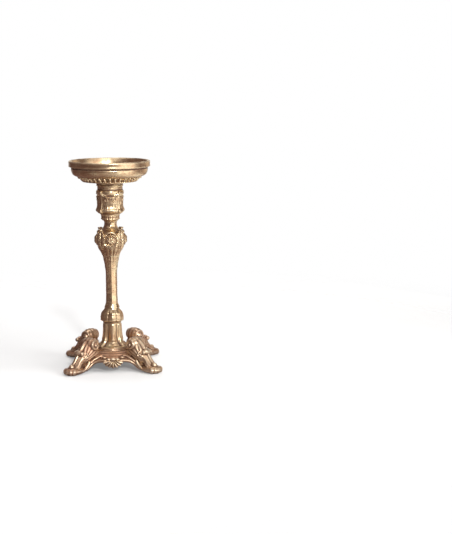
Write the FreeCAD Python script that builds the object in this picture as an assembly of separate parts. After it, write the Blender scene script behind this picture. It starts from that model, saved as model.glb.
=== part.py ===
import FreeCAD, Part
import math
import os

from FreeCAD import Vector

# Gilt pillar candle holder: turned and carved sections stacked on a threaded tie rod.
# Millimetres, +Z up, origin on the table under the middle of the base.
# The legs stand on the diagonals, so the front (-Y) shows an apron with its shell.

# Shared fits and bows
FIT = 0.1  # radial clearance of a spigot in its socket
SOCKET_SPARE = 0.5  # room under the end of a spigot
OVERRUN = 5.0  # how far every cutter runs past what it cuts
SAME_POINT = 1e-6
QUARTER_BOW_SHARE = 0.207  # rise of a quarter circle over its chord
SOFT_BOW_SHARE = 0.10
FAINT_BOW_SHARE = 0.05

# Four of each: corners on the diagonals, faces between them
SIDES = 4
CORNER_START = 45.0
FACE_START = 0.0

# Tie rod and its hardware
ROD_RADIUS = 4.0
ROD_CLEARANCE = 0.3
ROD_THREAD_IN_INSERT = 6.0
INSERT_WALL = 2.0
INSERT_LENGTH = 7.0
NUT_ACROSS_FLATS = 13.0
NUT_SIDES = 6
NUT_HEIGHT = 6.0
WASHER_RADIUS = 9.5
WASHER_THICKNESS = 1.6
ROD_PAST_NUT = 1.0
NUT_RECESS_CLEARANCE = 1.5
NUT_RECESS_SPARE = 1.0

# Spigot that each thin section has at its foot
SPIGOT_RADIUS = 6.6
SPIGOT_LENGTH = 4.0

# Felt pads and toes
PAD_THICKNESS = 1.2
PAD_RADIUS = 8.0
TOE_RADIUS = 13.0
TOE_HEIGHT = 8.5
TOE_CIRCLE_RADIUS = 90.0
TOE_BALL_RADIUS = 5.0
TOE_BALL_SINK = 1.5

# Hub
HUB_RADIUS = 36.0
HUB_BOTTOM = 11.0
HUB_TOP = 28.0
HUB_EDGE_ROUND = 2.0

# Legs: each station is its reach, underside, crest and half width, as shares of the sizes below
SHOULDER_HEIGHT = 48.5
LEG_HALF_WIDTH = 15.8
LEG_STATION_SHARES = [(0.26, 0.22, 0.54, 0.56), (0.41, 0.20, 0.70, 0.86), (0.50, 0.18, 0.92, 1.0),
                      (0.59, 0.15, 1.0, 1.0), (0.67, 0.13, 0.95, 0.95), (0.74, 0.10, 0.79, 0.85),
                      (0.81, 0.06, 0.60, 0.76), (0.88, 0.03, 0.42, 0.72), (0.97, 0.02, 0.20, 0.66)]
LEG_SECTION_SHARES = [(0.0, 1.0), (0.60, 0.84), (1.0, 0.44), (0.80, 0.06),
                      (0.0, 0.0), (-0.80, 0.06), (-1.0, 0.44), (-0.60, 0.84)]
KNEE_RADIUS = 6.0
KNEE_REACH_SHARE = 0.845
KNEE_HEIGHT_SHARE = 0.50
VOLUTE_RADIUS = 6.0
VOLUTE_EYE_RADIUS = 2.6
VOLUTE_STANDOFF = 1.2
VOLUTE_REACH_SHARE = 0.80
VOLUTE_HEIGHT_SHARE = 0.57
VOLUTE_WIDTH_SHARE = 0.68

# Dowels from the hub into the legs
DOWEL_RADIUS = 3.5
DOWEL_LENGTH = 22.0
DOWEL_HEIGHT_SHARE = 0.6

# Aprons between the legs, and the shell on each
APRON_EDGE_REACH_SHARE = 0.62  # of the circle of the toes
APRON_EDGE_DROP = 8.5
APRON_EDGE_THICKNESS = 3.5
APRON_END_SHARE = 0.30  # where an apron ends inside a leg, of the leg's half width
APRON_ARCH_SHARES = [(1.0, 0.70), (0.80, 0.85), (0.5, 0.95), (0.0, 1.0),
                     (-0.5, 0.95), (-0.80, 0.85), (-1.0, 0.70)]
APRON_EDGE_SHARES = [(-1.0, 0.98), (-0.62, 0.90), (-0.32, 0.94), (0.0, 1.0),
                     (0.32, 0.94), (0.62, 0.90), (1.0, 0.98)]
SHELL_HALF_WIDTH = 15.0
SHELL_HEIGHT = 13.5
SHELL_THICKNESS = 5.0
SHELL_RISE = 1.5
SHELL_LOBES = 7
SHELL_SPREAD = 150.0
SHELL_LOBE_ROOT_SHARE = 0.45
SHELL_HINGE_RADIUS = 3.4
SHELL_EMBED = 2.2

# Stepped foot disc of the stem
FOOT_HEIGHT = 4.0
FOOT_RADIUS = 31.0
FOOT_STEP_RADIUS = 28.5
FOOT_STEP_SHARE = 0.5

# Lower stem: trumpet with four ribs
STEM_HEIGHT = 36.5
STEM_FOOT_RADIUS = 26.5
STEM_FOOT_EDGE = 1.5
STEM_WAIST_RADIUS = 13.6
STEM_WAIST_SHARE = 0.52
STEM_TOP_RADIUS = 14.0
STEM_TRUMPET_BOW_SHARE = -0.24
STEM_RIB_HALF_WIDTH = 2.4
STEM_RIB_RELIEF = 2.0
STEM_RIB_ROOT_SHARE = 0.5

# Ring of turned-down leaves
RING_HEIGHT = 25.0
RING_RADIUS = 17.0
RING_TOP_RADIUS = 11.6
RING_FOOT_RADIUS = 14.6
RING_RIM_SHARE = 0.33
RING_LIP_SHARE = 0.12
RING_LEAVES = 8
RING_LEAF_RADIUS = 3.0
RING_LEAF_SINK = 1.5

# Bead at the foot of the shaft
BEAD_HEIGHT = 5.0
BEAD_RADIUS = 11.4
BEAD_EDGE_RADIUS = 10.6

# Shaft
SHAFT_HEIGHT = 79.5
SHAFT_RADIUS = 8.8
SHAFT_TOP_RADIUS = 13.6
SHAFT_FOOT_RADIUS = 10.2
SHAFT_FOOT_SHARE = 0.07
SHAFT_FLARE_SHARE = 0.62
SHAFT_FLARE_BOW_SHARE = -0.09
SHAFT_FLUTES = 8
SHAFT_FLUTE_RADIUS = 2.4
SHAFT_FLUTE_DEPTH = 0.9
SHAFT_FLUTE_START_SHARE = 0.14

# Knop, with corner leaves and face bosses
KNOP_HEIGHT = 42.5
KNOP_RADIUS = 22.4
KNOP_TOP_RADIUS = 12.6
KNOP_THROAT_SHARE = 0.31
KNOP_THROAT_RADIUS = 20.0
KNOP_BELLY_SHARE = 0.61
KNOP_LOWER_BOW_SHARE = 0.09
KNOP_UPPER_BOW_SHARE = 0.17
KNOP_LEAF_RELIEF = 2.4
KNOP_LEAF_HALF_WIDTH = 8.5
KNOP_LEAF_BOTTOM_SHARE = 0.24
KNOP_LEAF_TOP_SHARE = 0.98
KNOP_LEAF_WIDE_SHARE = 0.55
KNOP_LEAF_TIP_SHARE = 0.30
KNOP_LEAF_TIP_FLARE = 3.2
KNOP_LEAF_TIP_THICKNESS = 3.2
KNOP_LEAF_ROOT_SHARE = 0.82
KNOP_LEAF_THROAT_SHARE = 0.35
KNOP_BOSS_RADIUS = 7.6
KNOP_BOSS_HEIGHT_SHARE = 0.6
KNOP_BOSS_PROUD = 2.4
KNOP_BEZEL_WIDTH = 1.8
KNOP_BEZEL_PROUD = 1.2

# Neck
NECK_HEIGHT = 12.5
NECK_WAIST_RADIUS = 9.7
NECK_FOOT_RADIUS = 12.0
NECK_TOP_RADIUS = 11.2
NECK_WAIST_SHARE = 0.5
COLLAR_HEIGHT = 9.5
COLLAR_RADIUS = 14.6
COLLAR_LIP_RADIUS = 14.2
COLLAR_CUP_SHARE = 0.26

# Capital
CAPITAL_HEIGHT = 45.5
CAPITAL_UNDER_RADIUS = 15.2
CAPITAL_UNDER_HEIGHT = 3.5
CAPITAL_FOOT_RADIUS = 21.4
CAPITAL_FOOT_EDGE = 2.0
CAPITAL_WAIST_RADIUS = 18.8
CAPITAL_WAIST_SHARE = 0.45
CAPITAL_BEAD_RADIUS = 21.2
CAPITAL_BEAD_BOTTOM_SHARE = 0.7
CAPITAL_BEAD_TOP_SHARE = 0.84
CAPITAL_TOP_RADIUS = 19.4
PANEL_HALF_WIDTH = 10.6
PANEL_RELIEF = 1.3
PANEL_BOTTOM_SHARE = 0.10
PANEL_TOP_SHARE = 0.71
PANEL_SWAG_SHARE = 0.16
SCROLL_HALF_WIDTH = 3.2
SCROLL_RELIEF = 2.4
SCROLL_VOLUTE_RADIUS = 3.2
SCROLL_TOP_SHARE = 0.78
SCROLL_BOTTOM_SHARE = 0.13

# Cove under the pan
COVE_HEIGHT = 7.0
COVE_FOOT_RADIUS = 20.0
COVE_TOP_RADIUS = 27.0
COVE_EDGE = 1.5

# Ring of eggs
EGG_RING_HEIGHT = 8.5
EGG_RING_TOP_RADIUS = 48.0
EGG_RING_FOOT_RADIUS = 43.0
EGG_RING_FILLET = 1.3
EGG_RING_COVE_DEPTH = 2.6
EGG_COUNT = 36
EGG_RADIUS = 2.9
EGG_LENGTH_SHARE = 0.30

# Pan
PAN_RADIUS = 64.0
PAN_UNDER_HEIGHT = 2.5
PAN_LIP = 4.5
PAN_FASCIA = 10.5
PAN_COVE_DROP = 4.5
PAN_COVE_INSET = 3.6
PAN_BAND = 7.0
PAN_BAND_TAPER = 2.0
PAN_SEAT_RADIUS = 50.0
PAN_FLOOR_THICKNESS = 13.0
PAN_WALL_DRAFT = 2.0
PAN_FLOOR_ROUND = 2.5
PAN_SPIGOT_RADIUS = 16.0

# Height of each joint in the stack
FOOT_Z = HUB_TOP
STEM_Z = FOOT_Z + FOOT_HEIGHT
RING_Z = STEM_Z + STEM_HEIGHT
BEAD_Z = RING_Z + RING_HEIGHT
SHAFT_Z = BEAD_Z + BEAD_HEIGHT
KNOP_Z = SHAFT_Z + SHAFT_HEIGHT
NECK_Z = KNOP_Z + KNOP_HEIGHT
COLLAR_Z = NECK_Z + NECK_HEIGHT
CAPITAL_Z = COLLAR_Z + COLLAR_HEIGHT
COVE_Z = CAPITAL_Z + CAPITAL_HEIGHT
EGG_RING_Z = COVE_Z + COVE_HEIGHT
PAN_Z = EGG_RING_Z + EGG_RING_HEIGHT
PAN_TOP = PAN_Z + PAN_UNDER_HEIGHT + PAN_BAND + PAN_COVE_DROP + PAN_FASCIA

# Sizes that follow from others
ROD_BORE_RADIUS = ROD_RADIUS + ROD_CLEARANCE
INSERT_RADIUS = ROD_RADIUS + INSERT_WALL
NUT_RECESS_RADIUS = WASHER_RADIUS + NUT_RECESS_CLEARANCE
NUT_RECESS_DEPTH = WASHER_THICKNESS + NUT_HEIGHT + ROD_PAST_NUT + NUT_RECESS_SPARE
DOWEL_HEIGHT = HUB_BOTTOM + (HUB_TOP - HUB_BOTTOM) * DOWEL_HEIGHT_SHARE
APRON_EDGE_TOP = HUB_TOP - APRON_EDGE_DROP
APRON_ARCH_TOP = APRON_EDGE_TOP - APRON_EDGE_THICKNESS
APRON_EDGE_RADIUS = TOE_CIRCLE_RADIUS * APRON_EDGE_REACH_SHARE
APRON_APEX = LEG_HALF_WIDTH * APRON_END_SHARE / math.cos(math.radians(CORNER_START))
APRON_HALF_SPAN = APRON_EDGE_RADIUS * APRON_EDGE_SHARES[-1][1] - APRON_APEX
SHELL_TOP = APRON_EDGE_TOP + SHELL_RISE
KNOP_LEAF_TIP_RADIUS = KNOP_RADIUS + KNOP_LEAF_TIP_FLARE

AXIS = Vector(0, 0, 1)
ORIGIN = Vector(0, 0, 0)


# Outlines and solids of revolution

def between(low, high, share):
    """The value that lies this share of the way from low to high."""
    return low + (high - low) * share


def bowed(start, end, bow_share):
    """Arc from start to end, bowed to the right of its travel by a share of its chord."""
    chord = end - start
    right = Vector(chord.z, 0, -chord.x)
    return Part.Arc(start, (start + end) / 2 + right * bow_share, end).toShape()


def outline(steps):
    """Closed wire in the XZ plane. A step is (x, z), or (x, z, bow share) for an arc that ends there."""
    edges = []
    here = Vector(steps[0][0], 0, steps[0][1])
    for step in list(steps[1:]) + [steps[0][:2]]:
        there = Vector(step[0], 0, step[1])
        if not there.isEqual(here, SAME_POINT):
            edges.append(bowed(here, there, step[2]) if len(step) > 2 else Part.makeLine(here, there))
        here = there
    return Part.Wire(edges)


def turned(steps):
    """Solid of revolution about the axis of the stand."""
    return Part.Face(outline(steps)).revolve(ORIGIN, AXIS, 360)


def section(bottom, top, side, spigot_length=SPIGOT_LENGTH):
    """Bored turned section of the stack: spigot at its foot, socket in its head, and the given side."""
    spigot_end = bottom - spigot_length
    spigot = [(ROD_BORE_RADIUS, spigot_end), (SPIGOT_RADIUS, spigot_end), (SPIGOT_RADIUS, bottom)]
    return turned(spigot + side + socket_steps(top, SPIGOT_RADIUS))


def filled(side):
    """Solid of revolution under a side, without bore, spigot or socket."""
    return turned([(0, side[0][1])] + side + [(0, side[-1][1])])


def socket_steps(top, spigot_radius):
    """Steps of a socket in a head at this height, down to the rod's bore."""
    floor = top - SPIGOT_LENGTH - SOCKET_SPARE
    return [(spigot_radius + FIT, top), (spigot_radius + FIT, floor), (ROD_BORE_RADIUS, floor)]


def ring_of(shape, count, start):
    """Copies of a shape turned about the axis."""
    copies = []
    for index in range(count):
        copy = shape.copy()
        copy.rotate(ORIGIN, AXIS, start + 360.0 * index / count)
        copies.append(copy)
    return copies


def capsule(start, end, radius):
    """Round bar with round ends."""
    way = end - start
    bar = Part.makeCylinder(radius, way.Length, start, way)
    return bar.multiFuse([Part.makeSphere(radius, start), Part.makeSphere(radius, end)]).removeSplitter()


def extruded(wire, direction):
    """Solid made by pushing a flat wire along a direction."""
    return Part.Face(wire).extrude(direction)


def spline(points):
    """Smooth edge through points."""
    curve = Part.BSplineCurve()
    curve.interpolate(points)
    return curve.toShape()


# Pan and the mouldings under it

def drip_pan():
    band_bottom = PAN_Z + PAN_UNDER_HEIGHT
    fascia_bottom = PAN_TOP - PAN_FASCIA
    cove_radius = PAN_RADIUS - PAN_COVE_INSET
    inner_radius = PAN_RADIUS - PAN_LIP
    floor_top = PAN_Z + PAN_FLOOR_THICKNESS
    floor_radius = inner_radius - PAN_WALL_DRAFT
    pocket_top = PAN_Z + INSERT_LENGTH + SOCKET_SPARE
    spigot_bottom = PAN_Z - EGG_RING_HEIGHT - SPIGOT_LENGTH
    return turned([
        (0, pocket_top),
        (INSERT_RADIUS, pocket_top),
        (INSERT_RADIUS, PAN_Z),
        (ROD_BORE_RADIUS, PAN_Z),
        (ROD_BORE_RADIUS, spigot_bottom),
        (PAN_SPIGOT_RADIUS, spigot_bottom),
        (PAN_SPIGOT_RADIUS, PAN_Z),
        (PAN_SEAT_RADIUS, PAN_Z),
        (cove_radius - PAN_BAND_TAPER, band_bottom, SOFT_BOW_SHARE),
        (cove_radius, band_bottom + PAN_BAND, FAINT_BOW_SHARE),
        (PAN_RADIUS, fascia_bottom, -QUARTER_BOW_SHARE),
        (PAN_RADIUS, PAN_TOP - PAN_LIP / 2),
        (PAN_RADIUS - PAN_LIP / 2, PAN_TOP, QUARTER_BOW_SHARE),
        (inner_radius, PAN_TOP - PAN_LIP / 2, QUARTER_BOW_SHARE),
        (floor_radius, floor_top + PAN_FLOOR_ROUND),
        (floor_radius - PAN_FLOOR_ROUND, floor_top, -QUARTER_BOW_SHARE),
        (0, floor_top),
    ])


def egg_ring():
    bore = PAN_SPIGOT_RADIUS + FIT
    low = EGG_RING_Z + EGG_RING_FILLET
    high = EGG_RING_Z + EGG_RING_HEIGHT - EGG_RING_FILLET
    low_radius = EGG_RING_FOOT_RADIUS - EGG_RING_COVE_DEPTH
    high_radius = EGG_RING_TOP_RADIUS - EGG_RING_COVE_DEPTH
    ring = turned([
        (bore, EGG_RING_Z),
        (EGG_RING_FOOT_RADIUS, EGG_RING_Z),
        (EGG_RING_FOOT_RADIUS, low),
        (low_radius, low),
        (high_radius, high),
        (EGG_RING_TOP_RADIUS, high),
        (EGG_RING_TOP_RADIUS, EGG_RING_Z + EGG_RING_HEIGHT),
        (bore, EGG_RING_Z + EGG_RING_HEIGHT),
    ])
    foot = Vector(low_radius, 0, low)
    head = Vector(high_radius, 0, high)
    inset = (head - foot) * EGG_LENGTH_SHARE
    egg = capsule(foot + inset, head - inset, EGG_RADIUS)
    return ring.multiFuse(ring_of(egg, EGG_COUNT, FACE_START))


def pan_cove():
    """Turned cove that carries the egg ring and takes the end of the pan's spigot."""
    top = COVE_Z + COVE_HEIGHT
    floor = top - SPIGOT_LENGTH - SOCKET_SPARE
    return turned([
        (ROD_BORE_RADIUS, COVE_Z - SPIGOT_LENGTH),
        (SPIGOT_RADIUS, COVE_Z - SPIGOT_LENGTH),
        (SPIGOT_RADIUS, COVE_Z),
        (COVE_FOOT_RADIUS, COVE_Z),
        (COVE_FOOT_RADIUS, COVE_Z + COVE_EDGE),
        (COVE_TOP_RADIUS, top - COVE_EDGE, -QUARTER_BOW_SHARE),
        (COVE_TOP_RADIUS, top),
        (PAN_SPIGOT_RADIUS + FIT, top),
        (PAN_SPIGOT_RADIUS + FIT, floor),
        (ROD_BORE_RADIUS, floor),
    ])


# Capital, collar and neck

def capital_side(relief=0):
    """Side of the capital, from its under edge up, stood off by a relief."""
    height = CAPITAL_HEIGHT
    under = CAPITAL_Z + CAPITAL_UNDER_HEIGHT
    bead_share = (CAPITAL_BEAD_BOTTOM_SHARE + CAPITAL_BEAD_TOP_SHARE) / 2
    return [
        (CAPITAL_UNDER_RADIUS + relief, CAPITAL_Z),
        (CAPITAL_FOOT_RADIUS + relief, under, SOFT_BOW_SHARE),
        (CAPITAL_FOOT_RADIUS + relief, under + CAPITAL_FOOT_EDGE, QUARTER_BOW_SHARE),
        (CAPITAL_WAIST_RADIUS + relief, CAPITAL_Z + height * CAPITAL_WAIST_SHARE, -SOFT_BOW_SHARE),
        (CAPITAL_TOP_RADIUS + relief, CAPITAL_Z + height * CAPITAL_BEAD_BOTTOM_SHARE, -FAINT_BOW_SHARE),
        (CAPITAL_BEAD_RADIUS + relief, CAPITAL_Z + height * bead_share, QUARTER_BOW_SHARE),
        (CAPITAL_TOP_RADIUS + relief, CAPITAL_Z + height * CAPITAL_BEAD_TOP_SHARE, QUARTER_BOW_SHARE),
        (CAPITAL_TOP_RADIUS + relief, CAPITAL_Z + height),
    ]


def capital():
    return section(CAPITAL_Z, CAPITAL_Z + CAPITAL_HEIGHT, capital_side())


def capital_scroll():
    """Upright corner scroll with a volute at each end, coped to the capital, on the +X side."""
    low = CAPITAL_Z + CAPITAL_HEIGHT * SCROLL_BOTTOM_SHARE
    high = CAPITAL_Z + CAPITAL_HEIGHT * SCROLL_TOP_SHARE
    width = 2 * SCROLL_HALF_WIDTH
    block = Part.makeBox(CAPITAL_FOOT_RADIUS + OVERRUN, width, high - low, Vector(0, -SCROLL_HALF_WIDTH, low))
    strip = block.common(filled(capital_side(SCROLL_RELIEF)))
    volutes = []
    for radius, height in ((CAPITAL_FOOT_RADIUS, low), (CAPITAL_BEAD_RADIUS, high)):
        start = Vector(radius, -SCROLL_HALF_WIDTH, height)
        volutes.append(Part.makeCylinder(SCROLL_VOLUTE_RADIUS, width, start, Vector(0, 1, 0)))
    return strip.multiFuse(volutes).cut(filled(capital_side()))


def capital_panel(scrolls):
    """Leaf panel between two corner scrolls, its top edge hung like a swag, on the +X side."""
    low = CAPITAL_Z + CAPITAL_HEIGHT * PANEL_BOTTOM_SHARE
    high = CAPITAL_Z + CAPITAL_HEIGHT * PANEL_TOP_SHARE
    corners = [Vector(0, PANEL_HALF_WIDTH * side, height)
               for side, height in ((1, high), (1, low), (-1, low), (-1, high))]
    swag = Vector(0, 0, high - 2 * PANEL_HALF_WIDTH * PANEL_SWAG_SHARE)
    edges = [Part.makeLine(corners[k], corners[k + 1]) for k in range(3)]
    edges.append(Part.Arc(corners[3], swag, corners[0]).toShape())
    blade = extruded(Part.Wire(edges), Vector(CAPITAL_FOOT_RADIUS + OVERRUN, 0, 0))
    panel = blade.common(filled(capital_side(PANEL_RELIEF))).cut(filled(capital_side()))
    return panel.cut(Part.makeCompound(scrolls))


def neck_collar():
    cup = COLLAR_Z + COLLAR_HEIGHT * COLLAR_CUP_SHARE
    return section(COLLAR_Z, COLLAR_Z + COLLAR_HEIGHT, [
        (NECK_TOP_RADIUS, COLLAR_Z),
        (COLLAR_LIP_RADIUS, cup, SOFT_BOW_SHARE),
        (COLLAR_RADIUS, COLLAR_Z + COLLAR_HEIGHT, -FAINT_BOW_SHARE),
    ])


def neck_spool():
    waist = NECK_Z + NECK_HEIGHT * NECK_WAIST_SHARE
    return section(NECK_Z, NECK_Z + NECK_HEIGHT, [
        (NECK_FOOT_RADIUS, NECK_Z),
        (NECK_WAIST_RADIUS, waist, -SOFT_BOW_SHARE),
        (NECK_TOP_RADIUS, NECK_Z + NECK_HEIGHT, -SOFT_BOW_SHARE),
    ])


# Knop and its ornament

def knop_side(relief=0):
    """Side of the knop, which carries on the flare of the shaft, stood off by a relief."""
    return [
        (SHAFT_TOP_RADIUS + relief, KNOP_Z),
        (KNOP_THROAT_RADIUS + relief, KNOP_Z + KNOP_HEIGHT * KNOP_THROAT_SHARE, -FAINT_BOW_SHARE),
        (KNOP_RADIUS + relief, KNOP_Z + KNOP_HEIGHT * KNOP_BELLY_SHARE, KNOP_LOWER_BOW_SHARE),
        (KNOP_TOP_RADIUS + relief, KNOP_Z + KNOP_HEIGHT, KNOP_UPPER_BOW_SHARE),
    ]


def knop():
    return section(KNOP_Z, KNOP_Z + KNOP_HEIGHT, knop_side())


def knop_leaf():
    """Leaf that climbs one corner of the knop and ends in a free tip, on the +X side."""
    low = KNOP_Z + KNOP_HEIGHT * KNOP_LEAF_BOTTOM_SHARE
    high = KNOP_Z + KNOP_HEIGHT * KNOP_LEAF_TOP_SHARE
    wide = between(low, high, KNOP_LEAF_WIDE_SHARE)
    tip = KNOP_LEAF_HALF_WIDTH * KNOP_LEAF_TIP_SHARE
    right = [Vector(0, tip, low), Vector(0, KNOP_LEAF_HALF_WIDTH, wide), Vector(0, tip, high)]
    left = [Vector(0, -point.y, point.z) for point in reversed(right)]
    head, tail = Part.makeLine(right[-1], left[0]), Part.makeLine(left[-1], right[0])
    edges = Part.Wire([spline(right), head, spline(left), tail])
    blade = extruded(edges, Vector(KNOP_LEAF_TIP_RADIUS + OVERRUN, 0, 0))
    belly = KNOP_Z + KNOP_HEIGHT * KNOP_BELLY_SHARE
    skin = filled(knop_side(KNOP_LEAF_RELIEF)[:-1] + [
        (KNOP_LEAF_TIP_RADIUS, high, SOFT_BOW_SHARE),
        (KNOP_LEAF_TIP_RADIUS - KNOP_LEAF_TIP_THICKNESS, high),
        (KNOP_RADIUS * KNOP_LEAF_ROOT_SHARE, between(belly, high, KNOP_LEAF_THROAT_SHARE)),
    ])
    return blade.common(skin).cut(filled(knop_side()))


def knop_boss(leaves):
    """Round boss in a raised bezel, seated on one face of the knop, on the +X side."""
    centre = Vector(0, 0, KNOP_Z + KNOP_HEIGHT * KNOP_BOSS_HEIGHT_SHARE)
    face = KNOP_RADIUS + KNOP_BEZEL_PROUD
    outward = Vector(1, 0, 0)
    bezel = Part.makeCylinder(KNOP_BOSS_RADIUS + KNOP_BEZEL_WIDTH, face, centre, outward)
    ball_radius = (KNOP_BOSS_RADIUS ** 2 + KNOP_BOSS_PROUD ** 2) / (2 * KNOP_BOSS_PROUD)
    ball = Part.makeSphere(ball_radius, centre + outward * (face + KNOP_BOSS_PROUD - ball_radius))
    dome = ball.common(Part.makeCylinder(KNOP_BOSS_RADIUS, face + KNOP_BOSS_PROUD, centre, outward))
    return bezel.fuse(dome).cut(filled(knop_side())).cut(Part.makeCompound(leaves))


# Shaft, bead and leaf ring

def shaft():
    top = SHAFT_Z + SHAFT_HEIGHT
    straight = SHAFT_Z + SHAFT_HEIGHT * SHAFT_FOOT_SHARE
    flare = SHAFT_Z + SHAFT_HEIGHT * SHAFT_FLARE_SHARE
    body = section(SHAFT_Z, top, [
        (SHAFT_FOOT_RADIUS, SHAFT_Z),
        (SHAFT_RADIUS, straight, -QUARTER_BOW_SHARE),
        (SHAFT_RADIUS, flare),
        (SHAFT_TOP_RADIUS, top, SHAFT_FLARE_BOW_SHARE),
    ])
    centre = SHAFT_RADIUS + SHAFT_FLUTE_RADIUS - SHAFT_FLUTE_DEPTH
    start = SHAFT_Z + SHAFT_HEIGHT * SHAFT_FLUTE_START_SHARE
    flute = capsule(Vector(centre, 0, start), Vector(centre, 0, flare), SHAFT_FLUTE_RADIUS)
    return body.cut(Part.makeCompound(ring_of(flute, SHAFT_FLUTES, FACE_START + 180.0 / SHAFT_FLUTES)))


def shaft_bead():
    return section(BEAD_Z, BEAD_Z + BEAD_HEIGHT, [
        (BEAD_EDGE_RADIUS, BEAD_Z),
        (BEAD_RADIUS, BEAD_Z + BEAD_HEIGHT / 2, QUARTER_BOW_SHARE),
        (BEAD_EDGE_RADIUS, BEAD_Z + BEAD_HEIGHT, QUARTER_BOW_SHARE),
    ])


def leaf_ring():
    rim = Vector(RING_RADIUS, 0, RING_Z + RING_HEIGHT * RING_RIM_SHARE)
    lip = RING_Z + RING_HEIGHT * RING_LIP_SHARE
    top = Vector(RING_TOP_RADIUS, 0, RING_Z + RING_HEIGHT)
    body = section(RING_Z, top.z, [
        (RING_FOOT_RADIUS, RING_Z),
        (RING_FOOT_RADIUS, lip),
        (rim.x, rim.z, QUARTER_BOW_SHARE),
        (top.x, top.z, -SOFT_BOW_SHARE),
    ])
    inset = Vector(RING_LEAF_SINK, 0, 0)
    stalk = between(rim, top, RING_LIP_SHARE + RING_RIM_SHARE)
    leaf = capsule(rim - inset, stalk - inset * 2, RING_LEAF_RADIUS)
    return body.multiFuse(ring_of(leaf, RING_LEAVES, FACE_START))


# Lower stem and its foot disc

def stem_side(relief=0):
    """Side of the lower stem, from its foot up, stood off by a relief."""
    waist = STEM_Z + STEM_HEIGHT * STEM_WAIST_SHARE
    return [
        (STEM_FOOT_RADIUS + relief, STEM_Z),
        (STEM_FOOT_RADIUS + relief, STEM_Z + STEM_FOOT_EDGE),
        (STEM_WAIST_RADIUS + relief, waist, STEM_TRUMPET_BOW_SHARE),
        (STEM_TOP_RADIUS + relief, STEM_Z + STEM_HEIGHT, -FAINT_BOW_SHARE),
    ]


def lower_stem():
    body = section(STEM_Z, STEM_Z + STEM_HEIGHT, stem_side(), spigot_length=FOOT_HEIGHT + SPIGOT_LENGTH)
    return body.multiFuse(ring_of(stem_rib(), SIDES, CORNER_START))


def stem_rib():
    """Rib that runs down one corner of the stem and out along its foot, on the +X side."""
    root = between(SPIGOT_RADIUS, STEM_WAIST_RADIUS, STEM_RIB_ROOT_SHARE)
    length = STEM_FOOT_RADIUS - STEM_RIB_RELIEF - root
    corner = Vector(root, -STEM_RIB_HALF_WIDTH, STEM_Z)
    block = Part.makeBox(length, 2 * STEM_RIB_HALF_WIDTH, STEM_HEIGHT, corner)
    return block.common(filled(stem_side(STEM_RIB_RELIEF)))


def stem_foot():
    """Stepped disc round the stem's spigot."""
    step = FOOT_Z + FOOT_HEIGHT * FOOT_STEP_SHARE
    bore = SPIGOT_RADIUS + FIT
    return turned([
        (bore, FOOT_Z),
        (FOOT_RADIUS, FOOT_Z),
        (FOOT_RADIUS, step),
        (FOOT_STEP_RADIUS, step),
        (FOOT_STEP_RADIUS, FOOT_Z + FOOT_HEIGHT),
        (bore, FOOT_Z + FOOT_HEIGHT),
    ])


# Base

def base_hub():
    body = turned([
        (ROD_BORE_RADIUS, HUB_BOTTOM + NUT_RECESS_DEPTH),
        (NUT_RECESS_RADIUS, HUB_BOTTOM + NUT_RECESS_DEPTH),
        (NUT_RECESS_RADIUS, HUB_BOTTOM),
        (HUB_RADIUS, HUB_BOTTOM),
        (HUB_RADIUS, HUB_TOP - HUB_EDGE_ROUND),
        (HUB_RADIUS - HUB_EDGE_ROUND, HUB_TOP, QUARTER_BOW_SHARE),
    ] + socket_steps(HUB_TOP, SPIGOT_RADIUS))
    return body.cut(Part.makeCompound(ring_of(dowel(), SIDES, CORNER_START)))


def dowel():
    start = Vector(HUB_RADIUS - DOWEL_LENGTH / 2, 0, DOWEL_HEIGHT)
    return Part.makeCylinder(DOWEL_RADIUS, DOWEL_LENGTH, start, Vector(1, 0, 0))


def hub_room():
    """Upright cylinder that legs and aprons are coped to."""
    return Part.makeCylinder(HUB_RADIUS, PAD_THICKNESS + SHOULDER_HEIGHT + OVERRUN)


def leg_body():
    """Carved leg on the +X side, drawn through its upright sections."""
    rings = []
    for reach, under, crest, width in LEG_STATION_SHARES:
        low, high = PAD_THICKNESS + SHOULDER_HEIGHT * under, PAD_THICKNESS + SHOULDER_HEIGHT * crest
        points = [Vector(TOE_CIRCLE_RADIUS * reach, LEG_HALF_WIDTH * width * across, between(low, high, up))
                  for across, up in LEG_SECTION_SHARES]
        curve = Part.BSplineCurve()
        curve.interpolate(points, PeriodicFlag=True)
        rings.append(Part.Wire(curve.toShape()))
    return Part.makeLoft(rings, True)


def toe():
    """Round toe with a ball on top, at the end of the leg."""
    bottom, top = PAD_THICKNESS, PAD_THICKNESS + TOE_HEIGHT
    round_off = TOE_HEIGHT / 2
    bun = turned([
        (0, bottom),
        (TOE_RADIUS - round_off, bottom),
        (TOE_RADIUS, bottom + round_off, QUARTER_BOW_SHARE),
        (TOE_RADIUS - round_off, top, QUARTER_BOW_SHARE),
        (0, top),
    ])
    ball = Part.makeSphere(TOE_BALL_RADIUS, Vector(0, 0, top - TOE_BALL_SINK))
    whole = bun.fuse(ball)
    whole.translate(Vector(TOE_CIRCLE_RADIUS, 0, 0))
    return whole


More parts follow.
